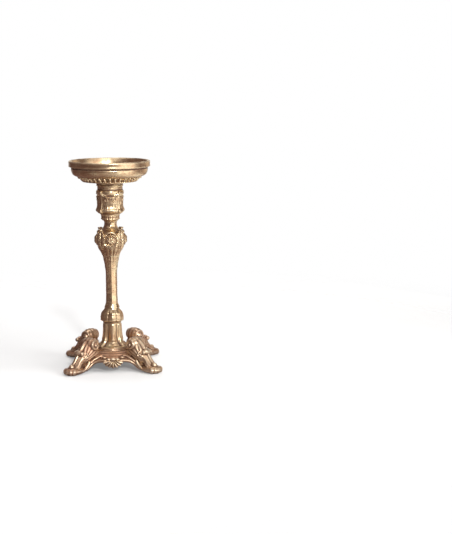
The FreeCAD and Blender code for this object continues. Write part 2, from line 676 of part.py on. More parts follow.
def leg():
    """Leg with side volutes, knee and toe, coped to the hub and bored for its dowel."""
    half = LEG_HALF_WIDTH * VOLUTE_WIDTH_SHARE + VOLUTE_STANDOFF
    across = Vector(0, 1, 0)
    centre = Vector(TOE_CIRCLE_RADIUS * VOLUTE_REACH_SHARE, 0, SHOULDER_HEIGHT * VOLUTE_HEIGHT_SHARE)
    volute = Part.makeCylinder(VOLUTE_RADIUS, 2 * half, centre - across * half, across)
    eye_half = half + VOLUTE_STANDOFF
    eye = Part.makeCylinder(VOLUTE_EYE_RADIUS, 2 * eye_half, centre - across * eye_half, across)
    bend = Vector(TOE_CIRCLE_RADIUS * KNEE_REACH_SHARE, 0, SHOULDER_HEIGHT * KNEE_HEIGHT_SHARE)
    knee = Part.makeSphere(KNEE_RADIUS, bend)
    return leg_body().multiFuse([volute, eye, knee, toe()]).cut(hub_room()).cut(dowel())


def apron(legs):
    """Arched panel between two legs on the -Y side, coped to the hub and to the legs."""
    edge = [Vector(APRON_HALF_SPAN * across, -APRON_EDGE_RADIUS * out, 0)
            for across, out in APRON_EDGE_SHARES]
    apex = Vector(0, -APRON_APEX, 0)
    wedge = Part.Wire([spline(edge), Part.makeLine(edge[-1], apex), Part.makeLine(apex, edge[0])])
    plan = extruded(wedge, Vector(0, 0, HUB_TOP))
    arch = [Vector(APRON_HALF_SPAN * across, 0, APRON_ARCH_TOP * up) for across, up in APRON_ARCH_SHARES]
    right, left = Vector(APRON_HALF_SPAN, 0, HUB_TOP), Vector(-APRON_HALF_SPAN, 0, HUB_TOP)
    front = Part.Wire([spline(arch), Part.makeLine(arch[-1], left), Part.makeLine(left, right),
                       Part.makeLine(right, arch[0])])
    panel = extruded(front, Vector(0, -APRON_EDGE_RADIUS - OVERRUN, 0))
    far = APRON_EDGE_RADIUS + APRON_HALF_SPAN
    slope = filled([
        (far, 0),
        (far, APRON_EDGE_TOP),
        (APRON_EDGE_RADIUS, APRON_EDGE_TOP),
        (HUB_RADIUS, HUB_TOP, -SOFT_BOW_SHARE),
    ])
    web = plan.common(panel).common(slope).cut(hub_room())
    for neighbour in legs:
        web = web.cut(neighbour)
    return web


def shell(apron_shape):
    """Scallop shell that hangs, hinge up, from the edge of the -Y apron."""
    hinge = Vector(0, -APRON_EDGE_RADIUS + SHELL_EMBED - SHELL_THICKNESS / 2, SHELL_TOP - SHELL_HINGE_RADIUS)
    lobe_length = SHELL_HEIGHT - SHELL_HINGE_RADIUS
    lobes = [Part.makeSphere(SHELL_HINGE_RADIUS, hinge)]
    for index in range(SHELL_LOBES):
        angle = math.radians(between(-SHELL_SPREAD / 2, SHELL_SPREAD / 2, index / (SHELL_LOBES - 1)))
        tip = hinge + Vector(SHELL_HALF_WIDTH * math.sin(angle), 0, -lobe_length * math.cos(angle))
        width = SHELL_THICKNESS / 2
        way = tip - hinge
        lobes.append(Part.makeCone(width * SHELL_LOBE_ROOT_SHARE, width, way.Length - width, hinge, way))
        lobes.append(Part.makeSphere(width, hinge + way * (1 - width / way.Length)))
    return lobes[0].multiFuse(lobes[1:]).cut(apron_shape)


# Hardware

def tie_rod():
    bottom = nut_bottom() - ROD_PAST_NUT
    return Part.makeCylinder(ROD_RADIUS, PAN_Z + ROD_THREAD_IN_INSERT - bottom, Vector(0, 0, bottom))


def washer_bottom():
    return HUB_BOTTOM + NUT_RECESS_DEPTH - WASHER_THICKNESS


def nut_bottom():
    return washer_bottom() - NUT_HEIGHT


def pan_insert():
    outer = Part.makeCylinder(INSERT_RADIUS, INSERT_LENGTH, Vector(0, 0, PAN_Z))
    return outer.cut(Part.makeCylinder(ROD_RADIUS, ROD_THREAD_IN_INSERT, Vector(0, 0, PAN_Z)))


def base_washer():
    outer = Part.makeCylinder(WASHER_RADIUS, WASHER_THICKNESS, Vector(0, 0, washer_bottom()))
    return outer.cut(Part.makeCylinder(ROD_BORE_RADIUS, WASHER_THICKNESS, Vector(0, 0, washer_bottom())))


def base_nut():
    step = math.pi / NUT_SIDES
    corner = NUT_ACROSS_FLATS / 2 / math.cos(step)
    angles = [2 * step * index for index in range(NUT_SIDES + 1)]
    points = [Vector(corner * math.cos(angle), corner * math.sin(angle), nut_bottom()) for angle in angles]
    hexagon = extruded(Part.makePolygon(points), Vector(0, 0, NUT_HEIGHT))
    return hexagon.cut(Part.makeCylinder(ROD_RADIUS, NUT_HEIGHT, Vector(0, 0, nut_bottom())))


def felt_pad():
    return Part.makeCylinder(PAD_RADIUS, PAD_THICKNESS, Vector(TOE_CIRCLE_RADIUS, 0, 0))


# Assembly

def numbered(name, shape, start):
    """One node for each of the four copies of a shape."""
    return {f"{name}_{k + 1}": copy for k, copy in enumerate(ring_of(shape, SIDES, start))}


def build():
    nodes = {
        "drip_pan": drip_pan(),
        "egg_ring": egg_ring(),
        "pan_cove": pan_cove(),
        "capital": capital(),
        "neck_collar": neck_collar(),
        "neck_spool": neck_spool(),
        "knop": knop(),
        "shaft": shaft(),
        "shaft_bead": shaft_bead(),
        "leaf_ring": leaf_ring(),
        "lower_stem": lower_stem(),
        "stem_foot": stem_foot(),
        "base_hub": base_hub(),
        "tie_rod": tie_rod(),
        "pan_insert": pan_insert(),
        "base_washer": base_washer(),
        "base_nut": base_nut(),
        "leg_dowels": Part.makeCompound(ring_of(dowel(), SIDES, CORNER_START)),
        "felt_pads": Part.makeCompound(ring_of(felt_pad(), SIDES, CORNER_START)),
    }
    scrolls = numbered("capital_scroll", capital_scroll(), CORNER_START)
    panels = numbered("capital_panel", capital_panel(list(scrolls.values())), FACE_START)
    leaves = numbered("knop_leaf", knop_leaf(), CORNER_START)
    bosses = numbered("knop_boss", knop_boss(list(leaves.values())), FACE_START)
    legs = numbered("leg", leg(), CORNER_START)
    front_apron = apron(list(legs.values()))
    aprons = numbered("apron", front_apron, FACE_START)
    shells = numbered("shell", shell(front_apron), FACE_START)
    for group in (scrolls, panels, leaves, bosses, legs, aprons, shells):
        nodes.update(group)
    return nodes


os.makedirs("parts", exist_ok=True)
for node, shape in build().items():
    print(node, len(shape.Solids), shape.isValid(), round(shape.Volume), flush=True)
    shape.exportStep(f"parts/{node}.step")
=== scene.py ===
import math

import bpy
import numpy as np
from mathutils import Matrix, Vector


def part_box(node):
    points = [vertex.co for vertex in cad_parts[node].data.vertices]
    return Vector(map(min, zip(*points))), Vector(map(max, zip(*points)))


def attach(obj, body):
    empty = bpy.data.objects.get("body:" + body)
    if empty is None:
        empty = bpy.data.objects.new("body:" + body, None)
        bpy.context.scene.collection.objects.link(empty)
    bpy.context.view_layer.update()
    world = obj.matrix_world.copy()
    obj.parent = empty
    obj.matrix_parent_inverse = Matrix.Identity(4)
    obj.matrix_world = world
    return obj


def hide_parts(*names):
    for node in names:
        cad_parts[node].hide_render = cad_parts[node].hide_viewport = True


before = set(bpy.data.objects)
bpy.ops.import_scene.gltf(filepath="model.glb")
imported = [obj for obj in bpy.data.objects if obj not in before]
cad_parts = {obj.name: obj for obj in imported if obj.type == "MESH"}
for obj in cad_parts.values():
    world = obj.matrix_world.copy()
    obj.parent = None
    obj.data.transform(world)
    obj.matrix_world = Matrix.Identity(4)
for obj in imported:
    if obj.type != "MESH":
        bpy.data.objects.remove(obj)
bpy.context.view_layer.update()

# Gilt pillar candle holder, dressed piece by piece. Lengths are millimetres until a mesh is made.
MM = 0.001
TURN = 2 * math.pi
SIDES = 4
CORNER = TURN / 8
PHOTO_WIDTH, PHOTO_HEIGHT = 452, 534


# Heights and reaches read from the frame

def top_of(node):
    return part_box(node)[1].z / MM


def reach_of(node):
    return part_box(node)[1].x / MM


PAN_TOP = top_of("drip_pan")
PAN_FOOT = top_of("egg_ring")
EGG_FOOT = top_of("pan_cove")
COVE_FOOT = top_of("capital")
CAPITAL_FOOT = top_of("neck_collar")
COLLAR_FOOT = top_of("neck_spool")
NECK_FOOT = top_of("knop")
KNOP_FOOT = top_of("shaft")
SHAFT_FOOT = top_of("shaft_bead")
BEAD_FOOT = top_of("leaf_ring")
RING_FOOT = top_of("lower_stem")
STEM_FOOT = top_of("stem_foot")
DISC_FOOT = top_of("base_hub")
PAD_TOP = top_of("felt_pads")
PAN_REACH = reach_of("drip_pan")
HUB_REACH = reach_of("base_hub")
STEM_CORE = 7.2  # radius inside the stem at which its turned pieces close, out of sight
NECK_CORE = 7.5


# Small shapes used all over

def smooth(low, high, value):
    """0 below low, 1 above high, and an easy rise between."""
    share = np.clip((value - low) / (high - low), 0, 1)
    return share * share * (3 - 2 * share)


def dome(distance):
    """Half round of height 1 over a distance of 1."""
    return np.sqrt(np.clip(1 - distance ** 2, 0, 1))


def ridge(distance):
    """Soft ridge of height 1 and width about 1."""
    return np.exp(-distance ** 2)


def repeat(angle, count):
    """Where an angle lies in its own repeat, from -0.5 to 0.5."""
    return (angle * count / TURN + 0.5) % 1 - 0.5


def flute(phase):
    """Row of round reeds with sharp grooves between them."""
    return np.abs(np.cos(math.pi * phase))


def spiral_relief(across, up, radius, winds, hand):
    """Carved volute: a ridge that winds into its eye."""
    distance = np.hypot(across, up)
    share = distance / radius
    angle = np.arctan2(up, across * hand)
    wound = 0.5 + 0.5 * np.cos(TURN * (share * winds - angle / TURN))
    eye = dome(distance / (0.26 * radius))
    return np.maximum(wound * smooth(0.2, 0.4, share), eye) * smooth(1.08, 0.9, share)


SLOW_WAVES = (31.0, 17.0, 9.0)  # lengths of the unevenness


def hand_made(points, size, seed):
    """Slow unevenness of a hand-finished surface, along X, Y and Z."""
    chance = np.random.default_rng(seed)
    drift = np.zeros_like(points)
    for length in SLOW_WAVES:
        for _ in range(3):
            wave = chance.normal(size=3)
            wave *= TURN / length / np.linalg.norm(wave)
            push = chance.normal(size=3)
            swell = np.sin(points @ wave + chance.uniform(0, TURN))[..., None]
            drift += push * swell * length
    return points + drift * size / SLOW_WAVES[0]


# Closed shells: points, four-sided faces and three-sided faces

def joined(shells):
    points, quads, tris, start = [], [], [], 0
    for p, q, t in shells:
        points.append(p)
        quads.append(q + start)
        tris.append(t + start)
        start += len(p)
    return np.concatenate(points), np.concatenate(quads), np.concatenate(tris)


def grid_faces(rows, columns, wrap):
    """Faces of a grid of points, closed round its columns if it wraps."""
    index = np.arange(rows * columns).reshape(rows, columns)
    here = index if wrap else index[:, :-1]
    there = np.roll(index, -1, axis=1) if wrap else index[:, 1:]
    return np.stack([here[:-1], there[:-1], there[1:], here[1:]], -1).reshape(-1, 4)


def barrel(rings):
    """Closed shell through rings of points, with a middle point at each end."""
    rows, columns = rings.shape[:2]
    points = np.concatenate([rings.reshape(-1, 3), [rings[0].mean(0)], [rings[-1].mean(0)]])
    first, last = rows * columns, rows * columns + 1
    low = np.arange(columns)
    high = low + (rows - 1) * columns
    tris = np.concatenate([np.stack([np.roll(low, -1), low, np.full(columns, first)], -1),
                           np.stack([high, np.roll(high, -1), np.full(columns, last)], -1)])
    return points, grid_faces(rows, columns, True), tris


def slab(outer, inner):
    """Closed shell between an outer and an inner sheet of the same grid."""
    rows, columns = outer.shape[:2]
    index = np.arange(rows * columns).reshape(rows, columns)
    edge = np.concatenate([index[0, :-1], index[:-1, -1], index[-1, :0:-1], index[:0:-1, 0]])
    following = np.roll(edge, -1)
    count = rows * columns
    face = grid_faces(rows, columns, False)
    rim = np.stack([following, edge, edge + count, following + count], -1)
    points = np.concatenate([outer.reshape(-1, 3), inner.reshape(-1, 3)])
    return points, np.concatenate([face, face[:, ::-1] + count, rim]), np.zeros((0, 3), int)


def contour(steps, pitch):
    """Dense outline through (radius, height) steps; a third number bows a stretch by a share of its chord."""
    line = [np.array(steps[0][:2], float)]
    for step in steps[1:]:
        start, end = line[-1], np.array(step[:2], float)
        chord = end - start
        count = max(2, math.ceil(np.hypot(*chord) / pitch))
        share = np.linspace(0, 1, count + 1)[1:, None]
        bow = step[2] if len(step) > 2 else 0
        square = np.array([chord[1], -chord[0]])
        line.extend(start + chord * share + square * (4 * bow * share * (1 - share)))
    line = np.array(line)
    line[1:-1] = (line[:-2] + 2 * line[1:-1] + line[2:]) / 4
    return line


def outward(line):
    """Direction square to a flat line, at each of its points."""
    way = np.gradient(line, axis=0)
    way /= np.linalg.norm(way, axis=1, keepdims=True)
    return np.stack([way[:, 1], -way[:, 0]], -1)


def turned(line, columns, relief=None):
    """Closed shell of revolution, with a relief (angle, height, radius) raised off its outline."""
    angle, height = np.meshgrid(np.arange(columns) * TURN / columns, line[:, 1])
    radius = np.repeat(line[:, :1], columns, 1)
    if relief is not None:
        raised = relief(angle, height, radius)
        out = outward(line)
        radius = radius + raised * out[:, :1]
        height = height + raised * out[:, 1:]
    return barrel(np.stack([radius * np.cos(angle), radius * np.sin(angle), height], -1))


def tube(path, radii, around=24):
    """Round bar along a path, with its own radius at each point."""
    path = np.asarray(path, float)
    radii = np.broadcast_to(radii, len(path))
    way = np.gradient(path, axis=0)
    way /= np.linalg.norm(way, axis=1, keepdims=True)
    side = np.cross(way[0], [0.3, 0.5, 0.81])
    angle = np.arange(around) * TURN / around
    rings = []
    for place, direction, radius in zip(path, way, radii):
        side = side - direction * (side @ direction)
        side /= np.linalg.norm(side)
        up = np.cross(direction, side)
        rings.append(place + radius * (np.cos(angle)[:, None] * side + np.sin(angle)[:, None] * up))
    return barrel(np.array(rings))


def rounded_ends(count, radius, share=0.12):
    """Radii of a bar that narrows to a round end at both ends."""
    place = np.linspace(0, 1, count)
    return radius * np.maximum(dome(1 - np.minimum(place, 1 - place).clip(0, share) / share), 0.08)


def ball(centre, radii, around=36):
    """Egg-shaped shell."""
    tilt = np.linspace(-0.498, 0.498, around // 2)[:, None] * math.pi
    angle = np.arange(around)[None, :] * TURN / around
    girth, rise = np.cos(tilt), np.sin(tilt)
    rings = np.stack([girth * np.cos(angle), girth * np.sin(angle), rise + 0 * angle], -1)
    return barrel(np.asarray(centre) + rings * np.asarray(radii))


def curve_through(points, count):
    """Smooth line through a few points, evenly spaced."""
    points = np.asarray(points, float)
    padded = np.concatenate([2 * points[:1] - points[1:2], points, 2 * points[-1:] - points[-2:-1]])
    share = np.linspace(0, 1, 24, endpoint=False)[:, None]
    line = []
    for a, b, c, d in zip(padded, padded[1:], padded[2:], padded[3:]):
        bend = 2 * a - 5 * b + 4 * c - d + share * (3 * (b - c) + d - a)
        line.append(b + 0.5 * share * (c - a + share * bend))
    line = np.concatenate(line + [points[-1:]])
    walked = np.concatenate([[0], np.cumsum(np.linalg.norm(np.diff(line, axis=0), axis=1))])
    even = np.linspace(0, walked[-1], count)
    return np.stack([np.interp(even, walked, line[:, k]) for k in range(line.shape[1])], -1)


# Pieces

def mesh_of(name, shell):
    points, quads, tris = shell
    mesh = bpy.data.meshes.new(name)
    mesh.vertices.add(len(points))
    mesh.vertices.foreach_set("co", (points * MM).ravel())
    corners = np.concatenate([quads.ravel(), tris.ravel()])
    starts = np.concatenate([np.arange(len(quads)) * 4, len(quads) * 4 + np.arange(len(tris)) * 3])
    mesh.loops.add(len(corners))
    mesh.loops.foreach_set("vertex_index", corners)
    mesh.polygons.add(len(starts))
    mesh.polygons.foreach_set("loop_start", starts)
    mesh.update(calc_edges=True)
    mesh.validate()
    mesh.shade_smooth()
    return mesh


def points_of(mesh):
    points = np.empty(len(mesh.vertices) * 3)
    mesh.vertices.foreach_get("co", points)
    return points.reshape(-1, 3) / MM


def turned_mesh(name, line, columns, relief=None, uneven=0.0, seed=0):
    """Turned piece with a relief carved on it and the slight unevenness of hand work."""
    points, quads, tris = turned(line, columns, relief)
    if uneven:
        points = hand_made(points, uneven, seed)
    return mesh_of(name, (points, quads, tris))


def melded(name, shell, voxel, rounds=2):
    """One skin over overlapping shells, softened as carving under gesso is."""
    raw = bpy.data.objects.new(name + "_rough", mesh_of(name + "_rough", shell))
    bpy.context.collection.objects.link(raw)
    skin = raw.modifiers.new("skin", "REMESH")
    skin.mode = "VOXEL"
    skin.voxel_size = voxel * MM
    soften = raw.modifiers.new("soften", "SMOOTH")
    soften.factor = 0.5
    soften.iterations = rounds
    view = raw.evaluated_get(bpy.context.evaluated_depsgraph_get())
    mesh = bpy.data.meshes.new_from_object(view)
    mesh.name = name
    bpy.data.objects.remove(raw)
    mesh.shade_smooth()
    return mesh


def turned_copy(mesh, name, angle):
    """The same mesh turned about the axis of the stand."""
    copy = mesh.copy()
    copy.name = name
    c, s = math.cos(angle), math.sin(angle)
    points = points_of(mesh) @ np.array([[c, s, 0], [-s, c, 0], [0, 0, 1]])
    copy.vertices.foreach_set("co", (points * MM).ravel())
    copy.update()
    return copy


MARK_SPREAD = 2.0  # how wide a hollow or an edge is taken to be
MARK_DEPTH = 0.40  # height at which a mark is full


def carving_marks(mesh):
    """Stores how far each point lies in a hollow or on an edge of the carving, for the finish to read."""
    points = points_of(mesh)
    edges = np.empty(len(mesh.edges) * 2, int)
    mesh.edges.foreach_get("vertices", edges)
    a, b = edges.reshape(-1, 2).T
    count = len(points)
    degree = np.maximum(np.bincount(a, minlength=count) + np.bincount(b, minlength=count), 1)

    def neighbours(values):
        return (np.bincount(a, values[b], count) + np.bincount(b, values[a], count)) / degree

    normals = np.empty(count * 3)
    mesh.vertices.foreach_get("normal", normals)
    normals = normals.reshape(-1, 3)
    length = np.linalg.norm(points[a] - points[b], axis=1).mean()
    soft = points.copy()
    for _ in range(int(np.clip((MARK_SPREAD / length) ** 2, 6, 40))):
        soft = np.stack([neighbours(soft[:, k]) for k in range(3)], -1)
    height = ((points - soft) * normals).sum(1) / MARK_DEPTH
    for name, value in (("hollow", -height), ("edge", height)):
        layer = mesh.attributes.new(name, "FLOAT", "POINT")
        layer.data.foreach_set("value", np.clip(value, 0, 1))


def piece(name, mesh, finish, *nodes, slot="gilt_wood"):
    """Puts a mesh in place of CAD nodes, in its finish."""
    mesh.name = name
    mesh.materials.clear()
    mesh.materials.append(finish)
    carving_marks(mesh)
    made = bpy.data.objects.new(name, mesh)
    bpy.context.collection.objects.link(made)
    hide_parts(*nodes)
    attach(made, "root")


# Pan and its mouldings

def pan_mesh():
    lip, floor = 4.5, PAN_TOP - 11.5
    line = contour([
        (16.0, PAN_FOOT),
        (49.0, PAN_FOOT),
        (PAN_REACH - 6.4, PAN_FOOT + 3.0, 0.10),
        (PAN_REACH - 3.7, PAN_TOP - 13.0, 0.07),
        (PAN_REACH - 4.3, PAN_TOP - 12.2),
        (PAN_REACH - 0.6, PAN_TOP - 9.4, -0.16),
        (PAN_REACH, PAN_TOP - 8.4, 0.12),
        (PAN_REACH - 0.3, PAN_TOP - 5.0, -0.03),
        (PAN_REACH, PAN_TOP - lip / 2, -0.02),
        (PAN_REACH - lip / 2, PAN_TOP, 0.207),
        (PAN_REACH - lip, PAN_TOP - lip / 2, 0.207),
        (PAN_REACH - lip - 2.0, floor + 2.5, 0.02),
        (PAN_REACH - lip - 4.5, floor, -0.207),
        (40.0, floor - 0.2),
        (20.0, floor - 0.3),
        (1.0, floor - 0.3),
    ], pitch=0.55)
    return turned_mesh("pan", line, columns=640, uneven=0.07, seed=3)


EGGS = 36


def egg_relief(angle, height, radius):
    """Eggs in their husks, with a dart between each pair."""
    low, high = EGG_FOOT + 1.2, PAN_FOOT - 0.5
    pitch = TURN * radius / EGGS
    across = repeat(angle, EGGS) * pitch
    up = (height - low) / (high - low) * 2 - 1
    band = smooth(low - 0.25, low + 0.25, height) * smooth(high + 0.25, high - 0.25, height)
    width = 2.3 + 0.4 * np.clip(up, -1, 1)
    distance = np.hypot(across / width, up * 0.80 - 0.06)
    egg = 3.6 * dome(distance)
    husk = 1.3 * ridge((distance - 1.26) / 0.11) * (up < 0.85)
    between = repeat(angle + math.pi / EGGS, EGGS) * pitch
    dart = 1.2 * ridge(between / 0.36) * smooth(-0.9, 0.5, up)
    return np.maximum(np.maximum(egg, husk), dart) * band


def egg_ring_mesh():
    line = contour([
        (18.0, EGG_FOOT),
        (42.2, EGG_FOOT),
        (42.9, EGG_FOOT + 0.7, 0.2),
        (42.5, EGG_FOOT + 1.3, 0.2),
        (40.2, EGG_FOOT + 1.5),
        (45.4, PAN_FOOT - 0.9, -0.05),
        (48.2, PAN_FOOT - 0.8),
        (48.8, PAN_FOOT - 0.5, 0.2),
        (48.8, PAN_FOOT),
        (18.0, PAN_FOOT),
    ], pitch=0.28)
    carved = line[:, 0] > 38
    keep = carved | (np.arange(len(line)) % 12 == 0)
    return turned_mesh("egg_ring", line[keep], columns=EGGS * 26, relief=egg_relief)


def pan_cove_mesh():
    line = contour([
        (10.0, COVE_FOOT),
        (20.0, COVE_FOOT),
        (21.4, COVE_FOOT + 1.0, 0.25),
        (20.6, COVE_FOOT + 2.0, 0.2),
        (26.2, EGG_FOOT - 1.4, -0.22),
        (27.2, EGG_FOOT - 0.7, 0.2),
        (27.2, EGG_FOOT),
        (10.0, EGG_FOOT),
    ], pitch=0.4)
    return turned_mesh("pan_cove", line, columns=300, uneven=0.12, seed=5)


# Capital, collar and neck

def capital_relief(angle, height, radius):
    """Broad leaf on each face: a hung roll at its head, with hooks and soft flutes below."""
    foot = CAPITAL_FOOT
    rise = (height - foot) / (COVE_FOOT - foot)
    turn = repeat(angle, SIDES) * TURN / SIDES
    across = turn * 20.0
    side = np.abs(across)
    half = 13.2 + 0.8 * np.cos((height - foot - 8.0) / 26.0 * TURN)
    panel = smooth(half + 1.2, half - 0.6, side) * smooth(0.12, 0.18, rise)
    hang = foot + 29.4 + (across / 12.0) ** 2 * 4.4
    below = smooth(0.6, -0.6, height - hang)
    fan = across / (0.62 + 0.38 * smooth(0.7, 0.1, rise))
    flutes = 0.32 * flute(fan / 3.4 + 0.5) * smooth(1.5, 4.0, side) * smooth(0.62, 0.42, rise)
    belly = 1.2 * dome(across / 12.6)
    roll = 1.2 * dome((height - hang) / 2.2) * smooth(13.5, 11.5, side)
    hook = 0.0
    for hand in (-1, 1):
        beside, up = across - hand * 6.4, height - foot - 24.4
        hook = hook + 0.9 * spiral_relief(beside, up, radius=3.6, winds=1.3, hand=-hand)
    relief = panel * below * (0.5 + belly + flutes + hook) + roll
    beads = 0.35 * dome(repeat(angle, 52) / 0.42) * ridge((rise - 0.93) / 0.02)
    corner = 1.5 * smooth(CORNER - 0.34, CORNER, np.abs(turn))
    corner = corner * smooth(0.06, 0.2, rise) * smooth(0.9, 0.75, rise)
    return relief + beads + corner


def capital_mesh():
    foot = CAPITAL_FOOT
    line = contour([
        (8.0, foot),
        (14.9, foot),
        (16.6, foot + 2.8, -0.04),
        (20.9, foot + 4.9, 0.06),
        (21.9, foot + 6.8, 0.22),
        (19.1, foot + 19.0, -0.10),
        (19.7, foot + 31.4, -0.04),
        (21.7, foot + 35.6, 0.20),
        (20.3, foot + 39.2, 0.20),
        (19.8, COVE_FOOT - 1.4, -0.08),
        (20.2, COVE_FOOT, 0.05),
        (8.0, COVE_FOOT),
    ], pitch=0.34)
    return turned_mesh("capital", line, columns=460, relief=capital_relief, uneven=0.10, seed=7)


def snail(centre, radius, half_width, hand):
    """Volute drum whose two faces are carved as a spiral; its axis is Y."""
    rows = np.concatenate([np.linspace(0.02, 1, 16), np.ones(8), np.linspace(1, 0.02, 16)])
    place = np.concatenate([-np.ones(16), np.linspace(-1, 1, 10)[1:-1], np.ones(16)])
    angle = np.arange(56) * TURN / 56
    rings = []
    for share, side in zip(rows, place):
        across, up = radius * share * np.cos(angle), radius * share * np.sin(angle)
        carved = 0.0 * angle
        if abs(side) == 1:
            carved = 0.30 * half_width * spiral_relief(across, up, radius=radius, winds=1.7, hand=hand)
        y = side * half_width * 0.86 + np.sign(side) * carved
        crown = 1 + 0.06 * (1 - side ** 2)
        rings.append(np.stack([across * crown, y, -up * crown], -1))
    return barrel(np.asarray(centre) + np.array(rings))


def strip(path, half_width, thickness, reeds, count=120, columns=40):
    """Band along a path in the XZ plane, laid flat to Y, with reeds along it. Its inner face is sunk."""
    line = curve_through(path, count)
    out = outward(line)
    place = np.linspace(-1, 1, columns)
    lift = 0.55 * thickness * (0.55 + 0.45 * flute(place * reeds / 2)) * dome(np.abs(place) ** 3)
    outer = line[:, None, :] + out[:, None, :] * lift[None, :, None]
    inner = line[:, None, :] - out[:, None, :] * thickness
    y = np.full((count, 1), half_width) * place[None, :]
    top = np.stack([outer[..., 0], y, outer[..., 1]], -1)
    bottom = np.stack([inner[..., 0] + 0 * y, y, inner[..., 1] + 0 * y], -1)
    return slab(top, bottom)


def capital_scroll_mesh():
    foot = CAPITAL_FOOT
    path = [(21.9, 7.4), (21.0, 11.0), (20.0, 17.0), (19.8, 24.0), (20.5, 31.0), (21.7, 35.4)]
    shells = [strip([(out, foot + up) for out, up in path], half_width=2.6, thickness=2.2, reeds=1)]
    for up, hand in ((7.0, 1), (36.0, -1)):
        shells.append(snail((22.0, 0, foot + up), radius=3.2, half_width=3.8, hand=hand))
    drop = curve_through([(21.8, 0, foot + 5.6), (21.6, 0, foot + 4.0), (19.8, 0, foot + 2.4)], 14)
    shells.append(tube(drop, np.linspace(2.2, 0.7, 14)))
    return melded("capital_scroll", joined(shells), voxel=0.26, rounds=2)


def collar_relief(angle, height, radius):
    """Row of small leaves under a narrow cord."""
    rise = (height - COLLAR_FOOT) / (CAPITAL_FOOT - COLLAR_FOOT)
    across = repeat(angle, 12)
    tongue = dome(across / 0.47) * smooth(0.16, 0.34, rise + 0.25 * across ** 2) * smooth(0.98, 0.8, rise)
    vein = 0.35 * ridge(across / 0.05)
    return 0.9 * tongue - vein * tongue


def neck_collar_mesh():
    line = contour([
        (NECK_CORE, COLLAR_FOOT),
        (11.0, COLLAR_FOOT),
        (13.6, COLLAR_FOOT + 2.3, 0.12),
        (13.9, COLLAR_FOOT + 3.4, 0.2),
        (13.5, COLLAR_FOOT + 4.2, 0.1),
        (13.7, CAPITAL_FOOT - 1.6, -0.03),
        (14.6, CAPITAL_FOOT - 0.8, 0.2),
        (14.4, CAPITAL_FOOT, 0.1),
        (NECK_CORE, CAPITAL_FOOT),
    ], pitch=0.32)
    return turned_mesh("neck_collar", line, columns=300, relief=collar_relief)


def neck_relief(angle, height, radius):
    """Eight faint faces that fade out at both ends."""
    faces = 0.16 * np.cos(8 * angle) * smooth(NECK_FOOT, NECK_FOOT + 4, height)
    return faces * smooth(COLLAR_FOOT, COLLAR_FOOT - 4, height)


def neck_spool_mesh():
    waist = NECK_FOOT + 8.2
    line = contour([
        (NECK_CORE, NECK_FOOT),
        (13.2, NECK_FOOT),
        (9.7, waist, -0.12),
        (11.2, COLLAR_FOOT, -0.12),
        (NECK_CORE, COLLAR_FOOT),
    ], pitch=0.4)
    return turned_mesh("neck_spool", line, columns=240, relief=neck_relief, uneven=0.10, seed=11)


# Knop and its ornament

BOSS_HEIGHT = KNOP_FOOT + 0.60 * (NECK_FOOT - KNOP_FOOT)


def knop_relief(angle, height, radius):
    """Long reeds that rise from the shaft, and a hollow round each boss with a raised crest about it."""
    rise = (height - KNOP_FOOT) / (NECK_FOOT - KNOP_FOOT)
    reeds = 0.8 * (flute(repeat(angle, 16)) - 0.55) * smooth(0.46, 0.22, rise)
    across = repeat(angle, SIDES) * TURN / SIDES * 22.0
    distance = np.hypot(across, height - BOSS_HEIGHT)
    sunk = -0.9 * ridge((distance - 10.4) / 1.0)
    collar = 0.6 * ridge((rise - 0.44) / 0.035) * smooth(9.5, 12.5, distance)
    return reeds + sunk + collar


def knop_mesh():
    foot = KNOP_FOOT
    line = contour([
        (8.0, foot),
        (13.5, foot),
        (16.3, foot + 6.5, -0.03),
        (20.2, foot + 13.2, 0.03),
        (22.4, foot + 26.0, 0.11),
        (19.6, foot + 35.0, 0.10),
        (13.2, NECK_FOOT - 0.8, 0.04),
        (12.5, NECK_FOOT),
        (8.0, NECK_FOOT),
    ], pitch=0.36)
    return turned_mesh("knop", line, columns=420, relief=knop_relief, uneven=0.14, seed=13)


def knop_leaf_mesh():
    """Acanthus leaf up one corner of the knop; its tip rolls outwards."""
    foot = KNOP_FOOT
    rows = 150
    path = [(18.2, 9.5), (20.9, 14.0), (23.2, 20.0), (23.9, 26.5), (22.9, 33.0), (22.0, 37.6), (22.9, 41.0),
            (24.8, 41.4), (25.4, 39.6)]
    line = curve_through([(out, foot + up) for out, up in path], rows)
    share = np.linspace(0, 1, rows)
    widths = [(0, 2.0), (0.2, 5.0), (0.45, 8.4), (0.62, 7.8), (0.78, 5.2), (0.9, 3.4), (1.0, 2.2)]
    width = curve_through(widths, rows)
    lobes = 1 + 0.12 * np.cos(TURN * share * 5.5) * smooth(0.1, 0.3, share)
    half = np.interp(share, width[:, 0], width[:, 1]) * lobes
    place = np.linspace(-1, 1, 60)
    side = np.abs(place)[None, :]
    out = outward(line)
    veins = 0.5 * flute(share[:, None] * 8 - side * 2.0) * smooth(0.06, 0.3, side)
    ribs = 0.7 * ridge(place / 0.10)[None, :] - 0.8 * ridge((side - 0.2) / 0.10)
    lift = (0.3 + veins + ribs + 0.4 * side ** 2) * smooth(0.0, 0.06, share)[:, None]
    lift = lift * dome(side ** 6)
    turn = half[:, None] * place[None, :] / 22.5

    def sheet(rise):
        radius = line[:, :1] + out[:, :1] * rise
        height = line[:, 1:] + out[:, 1:] * rise
        return np.stack([radius * np.cos(turn), radius * np.sin(turn), height + 0 * turn], -1)

    thick = np.interp(share, [0, 0.7, 0.85, 1.0], [3.4, 3.4, 1.6, 1.0])[:, None] + 0 * turn
    return melded("knop_leaf", slab(sheet(lift), sheet(-thick)), voxel=0.27, rounds=2)


